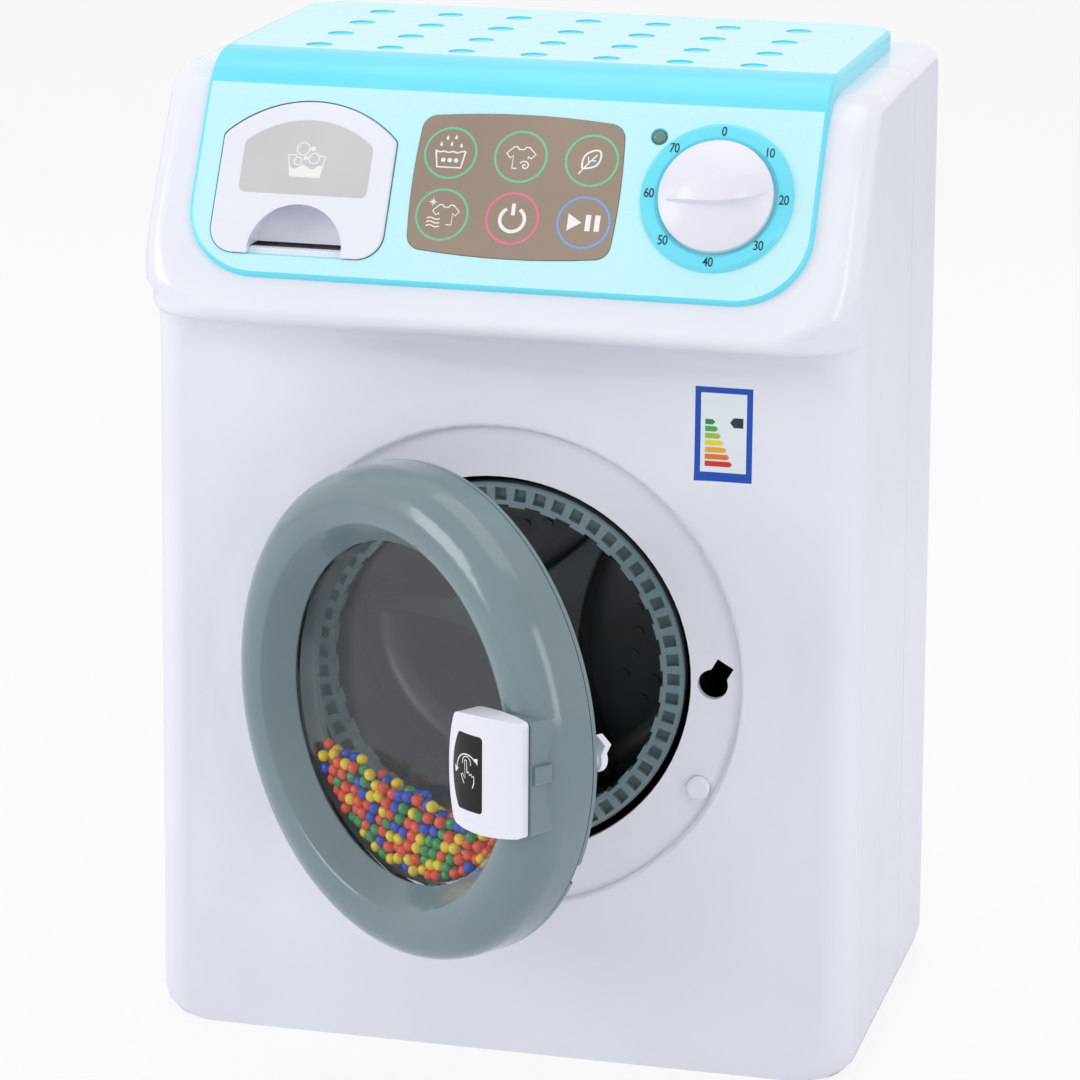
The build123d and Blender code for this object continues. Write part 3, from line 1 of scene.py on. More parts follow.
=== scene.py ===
# %% [markdown]
# # Dressing a toy washing machine
# The solid parts of this toy come from a CAD program, packed as one model with a named body for
# every piece that moves. Here each part gets the finish of the real toy: glossy white and cyan
# plastic, a bronze touch panel, clear windows with loose beads, and the small printed signs.
# The model is loaded first, and nothing in it is moved, because the looks must fit the mechanics.

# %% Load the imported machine
import json
import math

import bmesh
import bpy
import numpy as np
from mathutils import Matrix, Vector
from mathutils.bvhtree import BVHTree

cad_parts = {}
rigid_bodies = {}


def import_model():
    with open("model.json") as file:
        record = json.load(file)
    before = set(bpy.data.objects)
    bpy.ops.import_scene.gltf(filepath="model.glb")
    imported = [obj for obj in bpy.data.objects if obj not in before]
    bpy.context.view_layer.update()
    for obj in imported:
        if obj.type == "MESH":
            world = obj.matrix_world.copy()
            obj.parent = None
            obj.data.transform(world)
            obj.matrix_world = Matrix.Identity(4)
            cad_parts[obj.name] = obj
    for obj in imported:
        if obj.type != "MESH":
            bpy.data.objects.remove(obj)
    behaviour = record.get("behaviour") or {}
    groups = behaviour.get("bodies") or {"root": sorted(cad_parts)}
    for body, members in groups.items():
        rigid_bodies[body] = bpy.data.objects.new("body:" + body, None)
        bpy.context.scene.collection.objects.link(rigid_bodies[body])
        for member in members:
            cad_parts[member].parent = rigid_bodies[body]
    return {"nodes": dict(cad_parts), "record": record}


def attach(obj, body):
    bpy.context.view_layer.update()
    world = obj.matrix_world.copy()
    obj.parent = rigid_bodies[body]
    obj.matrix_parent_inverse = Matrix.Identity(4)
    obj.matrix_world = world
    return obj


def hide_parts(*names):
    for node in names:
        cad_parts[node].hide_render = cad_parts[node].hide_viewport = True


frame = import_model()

for leftover in [o for o in bpy.data.objects if o.name in ("Cube", "Light", "Camera")]:
    bpy.data.objects.remove(leftover)

nodes = frame["nodes"]
subpart_slots = {row["node"]: row["material_slot"] for row in frame["record"]["subparts"]}
bodies = frame["record"]["behaviour"]["bodies"]
node_body = {node: body for body, members in bodies.items() for node in members}
scene = bpy.context.scene
mm = 0.001
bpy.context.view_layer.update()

# %% [markdown]
# ## The camera
# The photograph was taken from a little right of the front and from above, with a long lens.
# The directions of the camera were worked out from straight edges of the toy, so they are
# written as the columns of its matrix, with a small roll because the picture is not quite level.
# A long lens keeps the upright edges nearly parallel.

# %% Place the camera
focal_length = 147.67
sensor_width = 36.0
viewpoint = Vector((358.5, -1403.9, 561.9)) * mm
roll = math.radians(0.40)

camera_data = bpy.data.cameras.new("photo_camera")
camera_data.lens = focal_length
camera_data.sensor_width = sensor_width
camera = bpy.data.objects.new("photo_camera", camera_data)
scene.collection.objects.link(camera)
scene.camera = camera

looking = Vector((-0.2411, 0.9327, -0.2682)).normalized()
rightward = Vector((0.9682, 0.2502, 0.0)).normalized()
upward = rightward.cross(looking).normalized()
tilted_right = rightward * math.cos(roll) + upward * math.sin(roll)
tilted_up = upward * math.cos(roll) - rightward * math.sin(roll)
turn = Matrix((tilted_right, tilted_up, -looking)).transposed().to_4x4()
camera.matrix_world = Matrix.Translation(viewpoint) @ turn
print("camera is", round((camera.location - Vector((0, 0, 0.165))).length, 2), "m from the toy")

# %% [markdown]
# ## Light and floor
# Toys are photographed in a bright tent, where soft light comes from everywhere. The world gives
# most of that light, and large area lamps add the soft streaks that show how glossy the plastic
# is. Rays that see the tent directly, through a window or in a reflection find plain white, while
# the light that the tent throws on the toy is a little weaker, so the white plastic keeps its
# shading in front of a white background.

# %% Light the studio
tent_strength = 0.67


def larger_of(tree, first, second):
    """A shader value that is the larger of two others."""
    node = tree.nodes.new("ShaderNodeMath")
    node.operation = "MAXIMUM"
    tree.links.new(first, node.inputs[0])
    tree.links.new(second, node.inputs[1])
    return node.outputs[0]


world = bpy.data.worlds.new("light_tent")
scene.world = world
world.use_nodes = True
tent = world.node_tree
tent.nodes.clear()
tent_out = tent.nodes.new("ShaderNodeOutputWorld")
soft_light = tent.nodes.new("ShaderNodeBackground")
soft_light.inputs["Color"].default_value = (0.955, 0.965, 1.0, 1.0)
soft_light.inputs["Strength"].default_value = tent_strength
white_view = tent.nodes.new("ShaderNodeBackground")
white_view.inputs["Color"].default_value = (1.0, 1.0, 1.0, 1.0)
white_view.inputs["Strength"].default_value = 1.0
ray = tent.nodes.new("ShaderNodeLightPath").outputs
seen = larger_of(tent, ray["Is Camera Ray"], ray["Is Transmission Ray"])
seen_or_mirrored = larger_of(tent, seen, ray["Is Glossy Ray"])
tent_mix = tent.nodes.new("ShaderNodeMixShader")
tent.links.new(seen_or_mirrored, tent_mix.inputs["Fac"])
tent.links.new(soft_light.outputs[0], tent_mix.inputs[1])
tent.links.new(white_view.outputs[0], tent_mix.inputs[2])
tent.links.new(tent_mix.outputs[0], tent_out.inputs["Surface"])
scene.view_settings.view_transform = "Standard"


def soft_box(name, position, target, width, height, watts):
    """A large rectangular lamp that looks from its position at the target, all in metres."""
    lamp_data = bpy.data.lights.new(name, "AREA")
    lamp_data.shape = "RECTANGLE"
    lamp_data.size = width
    lamp_data.size_y = height
    lamp_data.energy = watts
    lamp = bpy.data.objects.new(name, lamp_data)
    scene.collection.objects.link(lamp)
    lamp.location = position
    aim = Vector(target) - Vector(position)
    lamp.rotation_euler = aim.to_track_quat("-Z", "Y").to_euler()


soft_box("window_light", (-1.7, -1.0, 0.9), (0, 0, 0.15), 0.9, 0.9, 11.0)
soft_box("right_strip", (1.25, -0.85, 0.75), (0, 0, 0.15), 0.35, 1.1, 3.4)
soft_box("top_light", (0.1, 0.1, 1.5), (0, 0, 0.2), 1.2, 0.9, 3.6)

# %% [markdown]
# The floor is a plain pale sheet. It keeps the toy's soft shadow, and towards the camera it is
# mixed with plain white, as in a picture that was cut out for a shop page.

# %% Lay the floor
floor_half_width = 6.0
floor_whiteness = 0.82

sheet = bmesh.new()
bmesh.ops.create_grid(sheet, x_segments=1, y_segments=1, size=floor_half_width)
floor_mesh = bpy.data.meshes.new("studio_floor")
sheet.to_mesh(floor_mesh)
sheet.free()
studio_floor = bpy.data.objects.new("studio_floor", floor_mesh)
scene.collection.objects.link(studio_floor)

floor_look = bpy.data.materials.new("studio_floor")
floor_look.use_nodes = True
floor_tree = floor_look.node_tree
floor_tree.nodes.clear()
floor_out = floor_tree.nodes.new("ShaderNodeOutputMaterial")
paper = floor_tree.nodes.new("ShaderNodeBsdfDiffuse")
paper.inputs["Color"].default_value = (0.93, 0.94, 0.96, 1.0)
plain_white = floor_tree.nodes.new("ShaderNodeEmission")
plain_white.inputs["Strength"].default_value = 1.0
floor_ray = floor_tree.nodes.new("ShaderNodeLightPath")
floor_share = floor_tree.nodes.new("ShaderNodeMath")
floor_share.operation = "MULTIPLY"
floor_share.inputs[1].default_value = floor_whiteness
floor_mix = floor_tree.nodes.new("ShaderNodeMixShader")
floor_tree.links.new(floor_ray.outputs["Is Camera Ray"], floor_share.inputs[0])
floor_tree.links.new(floor_share.outputs[0], floor_mix.inputs["Fac"])
floor_tree.links.new(paper.outputs[0], floor_mix.inputs[1])
floor_tree.links.new(plain_white.outputs[0], floor_mix.inputs[2])
floor_tree.links.new(floor_mix.outputs[0], floor_out.inputs["Surface"])
floor_mesh.materials.append(floor_look)

# %% [markdown]
# ## The finishes
# Nearly all of the toy is injection-moulded plastic. A real moulding is never one flat colour:
# its tone drifts slightly where it cooled unevenly, its gloss varies, and its skin has a faint
# waviness that bends the highlights. One helper mixes these three for every plastic, with the
# pattern fixed in the toy's own space so that it stays put from every side.

# %% Mix a moulded plastic
tone_pattern = 16.0
gloss_pattern = 70.0
skin_depth = 0.4 * mm


def srgb(code):
    """Turns a colour written as #RRGGBB into the linear values that a shader uses."""
    channels = [int(code[i:i + 2], 16) / 255 for i in (1, 3, 5)]
    linear = [c / 12.92 if c <= 0.04045 else ((c + 0.055) / 1.055) ** 2.4 for c in channels]
    return (*linear, 1.0)


def moulded(name, tone, second_tone, gloss, wave=0.06, wave_size=180.0, coat=0.0, metal=0.0, grain=0.0):
    """A plastic of two near tones.

    gloss is its roughness, wave the strength of its skin's waviness, wave_size how fine that
    pattern is, coat a clear gloss on top, metal the share of metal and grain adds finer detail.
    """
    material = bpy.data.materials.new(name)
    material.use_nodes = True
    tree = material.node_tree
    shader = tree.nodes["Principled BSDF"]
    shader.inputs["Metallic"].default_value = metal
    shader.inputs["Coat Weight"].default_value = coat
    shader.inputs["Coat Roughness"].default_value = 0.06
    shader.inputs["IOR"].default_value = 1.48
    where = tree.nodes.new("ShaderNodeTexCoord")
    drift = tree.nodes.new("ShaderNodeTexNoise")
    drift.inputs["Scale"].default_value = tone_pattern
    drift.inputs["Detail"].default_value = 3.0
    tones = tree.nodes.new("ShaderNodeValToRGB")
    tones.color_ramp.elements[0].position = 0.35
    tones.color_ramp.elements[0].color = srgb(tone)
    tones.color_ramp.elements[1].position = 0.68
    tones.color_ramp.elements[1].color = srgb(second_tone)
    gloss_drift = tree.nodes.new("ShaderNodeTexNoise")
    gloss_drift.inputs["Scale"].default_value = gloss_pattern
    gloss_range = tree.nodes.new("ShaderNodeMapRange")
    gloss_range.inputs["To Min"].default_value = gloss * 0.94
    gloss_range.inputs["To Max"].default_value = gloss * 1.07
    skin = tree.nodes.new("ShaderNodeTexNoise")
    skin.inputs["Scale"].default_value = wave_size
    skin.inputs["Detail"].default_value = 2.0 + 4.0 * grain
    bump = tree.nodes.new("ShaderNodeBump")
    bump.inputs["Strength"].default_value = wave
    bump.inputs["Distance"].default_value = skin_depth
    for noise in (drift, gloss_drift, skin):
        tree.links.new(where.outputs["Object"], noise.inputs["Vector"])
    tree.links.new(drift.outputs["Fac"], tones.inputs["Fac"])
    tree.links.new(tones.outputs["Color"], shader.inputs["Base Color"])
    tree.links.new(gloss_drift.outputs["Fac"], gloss_range.inputs["Value"])
    tree.links.new(gloss_range.outputs["Result"], shader.inputs["Roughness"])
    tree.links.new(skin.outputs["Fac"], bump.inputs["Height"])
    tree.links.new(bump.outputs["Normal"], shader.inputs["Normal"])
    return material


# %% [markdown]
# The colours are read off. The body is a cool white, the console cyan, the door and the
# drum's ring the same grey-green, and the drum nearly black. The console's cover gets two copies
# of its one cyan: the paler copy is painted light on its front and top, and the stronger copy is
# painted shade on its bend, rim and dimples. The knob is a pearly white with a finer skin. Metals
# are the same mixture with the metal share turned up. Each finish has the name of a material slot
# of the model, so the parts can be dressed in one loop below.

# %% Name the finishes
finishes = {
    "white_gloss": moulded("white_gloss", "#EFF0F8", "#F3F4FB", 0.22, wave=0.035, coat=0.25),
    "white_knob": moulded("white_knob", "#ECECF6", "#F4F3FB", 0.30, wave=0.08, wave_size=420.0, grain=0.6),
    # pale_cyan is a paler copy of cyan: painted light on the cover's front and top.
    "pale_cyan": moulded("pale_cyan", "#C9F9FD", "#CBFAFE", 0.27, wave=0.006),
    "cyan": moulded("cyan", "#70E6F9", "#78EAFB", 0.25, wave=0.010, coat=0.1),
    "slate": moulded("slate", "#71858A", "#798D91", 0.19, wave=0.012, coat=0.35),
    "charcoal": moulded("charcoal", "#2B3437", "#343D40", 0.26, wave=0.04, wave_size=260.0),
    "black": moulded("black", "#121415", "#1A1C1E", 0.42, wave=0.10, wave_size=500.0, grain=0.7),
    "inlay_black": moulded("inlay_black", "#181412", "#201B19", 0.24, wave=0.02),
    "silver_plate": moulded("silver_plate", "#CBCBCD", "#D3D3D4", 0.30, wave=0.01, metal=0.6),
    "bronze_plate": moulded("bronze_plate", "#9C8C7E", "#A69586", 0.14, wave=0.006, metal=0.72),
    "bead_orange": moulded("bead_orange", "#F04410", "#F6582A", 0.25, wave=0.0),
    "bead_yellow": moulded("bead_yellow", "#F4D400", "#FAE01E", 0.25, wave=0.0),
    "bead_green": moulded("bead_green", "#1C9040", "#35A556", 0.25, wave=0.0),
    "bead_blue": moulded("bead_blue", "#0838C0", "#1C54D6", 0.25, wave=0.0),
    "steel": moulded("steel", "#8D9194", "#A6AAAD", 0.30, wave=0.10, wave_size=900.0, metal=1.0),
    "board": moulded("board", "#1F6B3F", "#2B7B4B", 0.40, wave=0.15, wave_size=700.0),
    "cell": moulded("cell", "#3E4A57", "#566373", 0.30, wave=0.03, metal=0.4),
    "gear": moulded("gear", "#E4E0D2", "#EEEADC", 0.38, wave=0.05),
}
dull_black = finishes["inlay_black"].node_tree.nodes["Principled BSDF"]
dull_black.inputs["Specular IOR Level"].default_value = 0.3
print("plastics and metals:", len(finishes))

# %% [markdown]
# The windows and the lamp's lens let light through. A window is nearly all reflection at its rim
# and nearly nothing in the middle. Its thickness is already in the solid, so plain transmission is
# enough. Real styrene has an index of 1.59, but light crosses four curved skins here, so the
# windows get a weaker one, which keeps the beads and the drum readable behind them.

# %% Mix the clear plastics
def clear_plastic(name, tint, gloss, bend, clarity):
    """A see-through plastic; bend is its index and clarity the share of light that passes."""
    material = moulded(name, tint, tint, gloss, wave=0.0, wave_size=90.0)
    shader = material.node_tree.nodes["Principled BSDF"]
    shader.inputs["Transmission Weight"].default_value = clarity
    shader.inputs["IOR"].default_value = bend
    return material


finishes["clear"] = clear_plastic("clear", "#FAFBFC", 0.006, 1.24, 1.0)
finishes["lamp"] = clear_plastic("lamp", "#86A99E", 0.10, 1.45, 0.35)

for node, slot in subpart_slots.items():
    holder = nodes[node]
    for place in holder.material_slots:
        place.material = finishes[slot]
print("finishes given to", len(subpart_slots), "parts")

# %% [markdown]
# ## Smooth copies of the shells
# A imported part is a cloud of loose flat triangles, so it would look faceted. Each visible part is
# copied, its corners are welded, and its faces are shaded smooth except across real edges. The
# Weighted Normal modifier keeps broad flat faces flat next to their rounded edges. The edges
# round the flat underside stay sharp as well, because half a sharp edge would smear a shadow over
# the wall above it. Where the real edge is broken by a small radius that the solid doesn't have, a
# Bevel modifier cuts it, which can be read and changed later.

# %% Copy, weld and smooth a part
weld_distance = 0.003 * mm


def smooth_copy(node, crease=34.0, edge=0.0, edge_from=40.0, steps=3):
    """Replaces a CAD part by a welded, smoothly shaded copy.

    Edges that bend by more than crease degrees stay sharp. edge is the radius (mm) that the
    modifier cuts, in so many steps, on edges that bend by more than edge_from degrees.
    """
    shape = bmesh.new()
    shape.from_mesh(nodes[node].data)
    bmesh.ops.remove_doubles(shape, verts=shape.verts, dist=weld_distance)
    if edge:
        flat = math.radians(0.6)
        bmesh.ops.dissolve_limit(shape, angle_limit=flat, verts=shape.verts, edges=shape.edges)
    for line in shape.edges:
        faces = line.link_faces
        faces_down = [face.normal.z < -0.999 for face in faces]
        on_floor = [face.calc_center_median().z < 0.5 * mm for face in faces]
        round_the_underside = any(map(all, zip(faces_down, on_floor))) and not all(faces_down)
        bends = len(faces) == 2 and line.calc_face_angle(0) > math.radians(crease)
        line.smooth = not (bends or round_the_underside)
    for face in shape.faces:
        face.smooth = True
    mesh = bpy.data.meshes.new(node + "_smooth")
    shape.to_mesh(mesh)
    shape.free()
    mesh.materials.append(finishes[subpart_slots[node]])
    piece = bpy.data.objects.new(node + "_smooth", mesh)
    scene.collection.objects.link(piece)
    if edge:
        rounding = piece.modifiers.new("edge_radius", "BEVEL")
        rounding.width = edge * mm
        rounding.segments = steps
        rounding.limit_method = "ANGLE"
        rounding.angle_limit = math.radians(edge_from)
        rounding.harden_normals = True
    flatter = piece.modifiers.new("flat_faces", "WEIGHTED_NORMAL")
    flatter.keep_sharp = True
    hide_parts(node)
    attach(piece, node_body[node])
    return piece


# %% [markdown]
# The two halves of the case, the console's cover and the drum only need smoothing, because their
# radii are in the solids. The front shell has shallow steps that have to blend, so fewer of its
# edges stay sharp. The handle, the latch and the switch get their small radii here.

# %% Smooth the case, the console and the drum
smooth_parts = {}
for node in (
    "rear_shell", "console_cover", "touch_panel", "dial_ring", "timer_knob", "soap_drawer",
    "drawer_inlay", "drum_shell", "drum_ring", "drum_tub", "door_ring_front", "door_ring_rear",
    "door_button", "battery_door", "handle_inlay", "power_light", "window_outer", "window_inner",
):
    smooth_parts[node] = smooth_copy(node)
smooth_parts["front_shell"] = smooth_copy("front_shell", crease=52.0)
smooth_parts["door_handle"] = smooth_copy("door_handle", edge=1.1, steps=4)
smooth_parts["door_latch"] = smooth_copy("door_latch", edge=0.7, edge_from=30.0)
smooth_parts["power_switch"] = smooth_copy("power_switch", edge=0.4)
print("smooth copies:", len(smooth_parts))

# %% [markdown]
# ## Painted light on the cover's cyan
# The cover is a single moulding of one cyan. Its slanted front and its flat top are drawn paler
# than the bend, the rim and the dimples: that paler cyan is painted light where these faces meet
# the light, and the stronger cyan on the rest is painted shade. The faces of the front are found
# by their direction and their distance from that plane, and those of the top by their height.

# %% Paint light on the cover's front and top
top_height = 329.0 * mm
console_origin = Vector((0, -93.498, 252.0)) * mm
console_up = Vector((0, 0.5, 0.8660254))
console_normal = Vector((0, -0.8660254, 0.5))
cover_mesh = smooth_parts["console_cover"].data
cover_mesh.materials.clear()
# Slot 0 is the cover's cyan, slot 1 its paler copy, which is painted light.
for finish in ("cyan", "pale_cyan"):
    cover_mesh.materials.append(finishes[finish])
painted_light_faces = 0
for face in cover_mesh.polygons:
    height = (face.center - console_origin).dot(console_normal)
    on_front = face.normal.dot(console_normal) > 0.995 and abs(height) < 0.2 * mm
    on_top = face.normal.z > 0.999 and face.center.z > top_height - 0.1 * mm
    if on_front or on_top:
        # These faces meet the light, so they get the paler cyan as painted light.
        face.material_index = 1
        painted_light_faces += 1
print("pale faces on the front and the top:", painted_light_faces)

# %% [markdown]
# ## Printed signs
# The signs are ink: a few hundredths of a millimetre thick. They are drawn flat, in millimetres,
# as strokes, patches and discs. Then every point is dropped straight onto the part that carries
# it, so a sign follows a curved face as real pad printing does.

# %% Draw and lay ink
half_ink = 0.15


def stroke(points, width, closed=False, flowing=False):
    """A line of the given width through flat points, as a mesh."""
    line = bpy.data.curves.new("stroke", "CURVE")
    line.dimensions = "3D"
    line.bevel_depth = width / 2
    line.bevel_resolution = 1
    line.use_fill_caps = True
    spline = line.splines.new("NURBS" if flowing else "POLY")
    spline.points.add(len(points) - 1)
    for knot, (x, y) in zip(spline.points, points):
        knot.co = (x, y, 0, 1)
    spline.use_cyclic_u = closed
    if flowing:
        spline.order_u = 3
        spline.use_endpoint_u = not closed
        spline.resolution_u = 6
    holder = bpy.data.objects.new("stroke", line)
    mesh = bpy.data.meshes.new_from_object(holder)
    bpy.data.objects.remove(holder)
    bpy.data.curves.remove(line)
    return mesh


def ring_of(x, y, radius, width, sides=56, start=0.0, sweep=360.0):
    """A ring or an open arc as a stroke; start and sweep are in degrees."""
    whole = sweep >= 360.0
    steps = sides if whole else max(6, int(sides * sweep / 360))
    count = steps if whole else steps + 1
    angles = [math.radians(start + sweep * i / steps) for i in range(count)]
    points = [(x + radius * math.cos(a), y + radius * math.sin(a)) for a in angles]
    return stroke(points, width, closed=whole)


def disc(x, y, radius, sides=20):
    """A filled disc with a small thickness."""
    shape = bmesh.new()
    made = bmesh.ops.create_circle(shape, cap_ends=True, radius=radius, segments=sides)
    bmesh.ops.translate(shape, verts=made["verts"], vec=(x, y, half_ink))
    return to_flat_mesh(shape)


def patch(points):
    """A filled outline with a small thickness."""
    shape = bmesh.new()
    shape.faces.new([shape.verts.new((x, y, half_ink)) for x, y in points])
    return to_flat_mesh(shape)


def to_flat_mesh(shape):
    """Gives a flat outline its thickness and returns it as a mesh."""
    bmesh.ops.recalc_face_normals(shape, faces=shape.faces)
    if next(iter(shape.faces)).normal.z < 0:
        bmesh.ops.reverse_faces(shape, faces=shape.faces)
    grown = bmesh.ops.extrude_face_region(shape, geom=shape.faces[:])
    lowered = [g for g in grown["geom"] if isinstance(g, bmesh.types.BMVert)]
    bmesh.ops.translate(shape, verts=lowered, vec=(0, 0, -2 * half_ink))
    bmesh.ops.recalc_face_normals(shape, faces=shape.faces)
    mesh = bpy.data.meshes.new("patch")
    shape.to_mesh(mesh)
    shape.free()
    return mesh


surfaces = {}
drop_height = 40 * mm


def surface_of(node):
    """The faces of a CAD part, sorted so that a ray finds them quickly."""
    if node not in surfaces:
        mesh = nodes[node].data
        points = [v.co for v in mesh.vertices]
        surfaces[node] = BVHTree.FromPolygons(points, [p.vertices for p in mesh.polygons])
    return surfaces[node]


def lay_ink(name, drawings, plane, carrier, finish, lift=0.03, squeeze=0.12, fine=0.0):
    """Drops flat drawings (mm) through the plane's matrix onto the carrier part.

    The middle of the ink lies lift mm above the part, and squeeze flattens its thickness. fine is
    the longest edge (mm) that a drawing keeps, so that it can follow a rounded part.
    """
    shape = bmesh.new()
    for drawing in drawings:
        shape.from_mesh(drawing)
        bpy.data.meshes.remove(drawing)
    for _ in range(2 if fine else 0):
        long_edges = [line for line in shape.edges if line.calc_length() > fine]
        bmesh.ops.subdivide_edges(shape, edges=long_edges, cuts=1)
    outward = (plane.to_3x3() @ Vector((0, 0, 1))).normalized()
    target = surface_of(carrier)
    for vert in shape.verts:
        above = plane @ Vector((vert.co.x * mm, vert.co.y * mm, 0))
        spot = target.ray_cast(above + outward * drop_height, -outward)[0]
        base = spot if spot is not None else above
        vert.co = base + outward * (lift + vert.co.z * squeeze) * mm
    mesh = bpy.data.meshes.new(name)
    shape.to_mesh(mesh)
    shape.free()
    mesh.materials.append(finish)
    mesh.shade_smooth()
    mesh.set_sharp_from_angle(angle=math.radians(50))
    piece = bpy.data.objects.new(name, mesh)
    scene.collection.objects.link(piece)
    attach(piece, node_body[carrier])
    return piece


ink_tones = {
    "white": ("#F3F1EC", "#FBF9F5"),
    "green": ("#74C79B", "#7FD0A5"),
    "pink": ("#EB6E94", "#F27DA0"),
    "blue": ("#76A5E6", "#82B0EC"),
    "dark": ("#16303C", "#1E3945"),
}
inks = {
    name: moulded(name + "_ink", *tones, 0.45, wave=0.1, wave_size=900.0)
    for name, tones in ink_tones.items()
}
console_plane = Matrix((Vector((1, 0, 0)), console_up, console_normal)).transposed().to_4x4()
console_plane.translation = console_origin

# %% [markdown]
# The touch panel has six round signs. Four green rings hold wash programmes, a pink ring holds
# the power sign and a blue one the sign for start and pause. Places on the console are written
# as millimetres across it and up its slope.

# %% Print the touch panel's rings
left, middle, right = -17.8, 5.3, 28.5
upper, lower = 57.9, 37.2
ring_radius = 8.4
rings = {
    "green_rings": ("green", 0.74, ((left, upper), (middle, upper), (right, upper), (left, lower))),
    "pink_ring": ("pink", 0.78, ((middle, lower),)),
    "blue_ring": ("blue", 0.72, ((right, lower),)),
}
for name, (ink, width, centres) in rings.items():
    drawn = [ring_of(x, y, ring_radius, width) for x, y in centres]
    lay_ink(name, drawn, console_plane, "touch_panel", inks[ink])
print("kinds of rings:", len(rings))


# %% Draw a basin, a drop and a shirt
def moved(points, x, y, size=1.0):
    """Shifts and scales a flat outline."""
    return [(x + px * size, y + py * size) for px, py in points]


def basin(x, y, size=1.0):
    """A wash basin with a wavy rim and three dots."""
    outline = [(-4.9, 2.4), (-3.9, -3.2), (3.9, -3.2), (4.9, 2.4)]
    rim = [
        (-4.9, 2.4), (-3.6, 1.6), (-2.2, 2.3), (-0.8, 1.6),
        (0.7, 2.3), (2.1, 1.6), (3.5, 2.3), (4.9, 2.4),
    ]
    drawn = [stroke(moved(outline, x, y, size), 0.6 * size)]
    drawn.append(stroke(moved(rim, x, y, size), 0.5 * size, flowing=True))
    drawn += [disc(x + dx * size, y - 0.8 * size, 0.75 * size) for dx in (-2.1, 0, 2.1)]
    return drawn


def drop(x, y, size):
    """A falling drop of water."""
    outline = [
        (0, 1.5), (0.55, 0.35), (0.6, -0.25), (0.3, -0.7), (-0.3, -0.7), (-0.6, -0.25), (-0.55, 0.35),
    ]
    return patch(moved(outline, x, y, size))


def shirt(x, y, size=1.0, open_side=0):
    """A short-sleeved shirt; its left (-1) or right (1) lower corner stays free for another sign."""
    left_side = [(-1.5, 3.4), (-2.6, 3.3), (-4.9, 1.0), (-3.5, -0.5), (-2.5, 0.3)]
    right_side = [(-px, py) for px, py in left_side]
    collar = [(-1.5, 3.4), (-0.8, 2.5), (0.8, 2.5), (1.5, 3.4)]
    left_side += [(-2.5, -4.0), (-0.9, -4.0)] if open_side >= 0 else [(-2.5, -0.4)]
    right_side += [(2.5, -4.0), (0.6, -4.0)] if open_side <= 0 else [(2.5, -0.6)]
    return [stroke(moved(line, x, y, size), 0.45 * size) for line in (collar, left_side, right_side)]


# %% [markdown]
# The upper row shows a basin under drops, a shirt with a swirl and a leaf. The lower row shows a
# shirt in moving air with a small star, the power sign, and start and pause.

# %% Print the six signs
signs = basin(left, upper - 1.6)
for dx, dy in ((-1.6, 4.9), (1.2, 5.2), (-3.4, 2.7), (0.0, 2.9), (3.2, 2.5)):
    signs.append(drop(left + dx, upper + dy, 0.72))

signs += shirt(middle, upper, 0.98, open_side=1)
swirl_turns = [0.5 * i for i in range(1, 19)]
swirl = [(0.6 * 0.32 * a * math.cos(a), 0.6 * 0.32 * a * math.sin(a)) for a in swirl_turns]
signs.append(stroke(moved(swirl, middle + 1.6, upper - 2.9), 0.42, flowing=True))

leaf_strokes = (
    ([(-2.6, -1.9), (-3.0, 0.8), (-1.2, 3.2), (2.4, 4.0), (2.6, 0.6), (0.8, -1.7), (-2.6, -1.9)], 0.6, True),
    ([(-3.4, -3.6), (-1.6, -0.9), (1.4, 2.3)], 0.45, True),
    ([(-0.9, 0.1), (-1.2, 1.6)], 0.4, False),
    ([(-0.2, 0.6), (1.3, 0.5)], 0.4, False),
)
for points, width, flowing in leaf_strokes:
    signs.append(stroke(moved(points, right, upper - 0.6, 1.12), width, flowing=flowing))

signs += shirt(left + 1.2, lower + 0.3, 0.9, open_side=-1)
moving_air = [(-4.6, 0.0), (-3.5, 0.5), (-2.4, 0.0), (-1.3, -0.4), (-0.2, 0.0)]
for k in range(3):
    signs.append(stroke(moved(moving_air, left - 0.2, lower - 1.4 - 1.25 * k), 0.42, flowing=True))
for k in range(4):
    reach = 0.95 if k % 2 else 1.3
    tip = (reach * math.cos(math.radians(45 * k)), reach * math.sin(math.radians(45 * k)))
    beam = [(-tip[0], -tip[1]), tip]
    signs.append(stroke(moved(beam, left - 3.4, lower + 4.1), 0.28))

signs.append(ring_of(middle, lower - 0.3, 4.0, 1.15, sides=44, start=122, sweep=296))
signs.append(stroke([(middle, lower + 1.1), (middle, lower + 5.0)], 1.25))
signs.append(patch(moved([(-5.2, 2.9), (-5.2, -2.9), (-0.7, 0.0)], right, lower)))
pause_bar = [(-0.85, 2.7), (-0.85, -2.7), (0.85, -2.7), (0.85, 2.7)]
for dx in (1.6, 4.6):
    signs.append(patch(moved(pause_bar, right + dx - 0.2, lower)))
panel_signs = lay_ink("panel_signs", signs, console_plane, "touch_panel", inks["white"], lift=0.04)
print("sign faces:", len(panel_signs.data.polygons))

# %% [markdown]
# The drawer's silver plate carries one white basin with soap bubbles above it. It rides with the
# drawer, so it slides out with it.

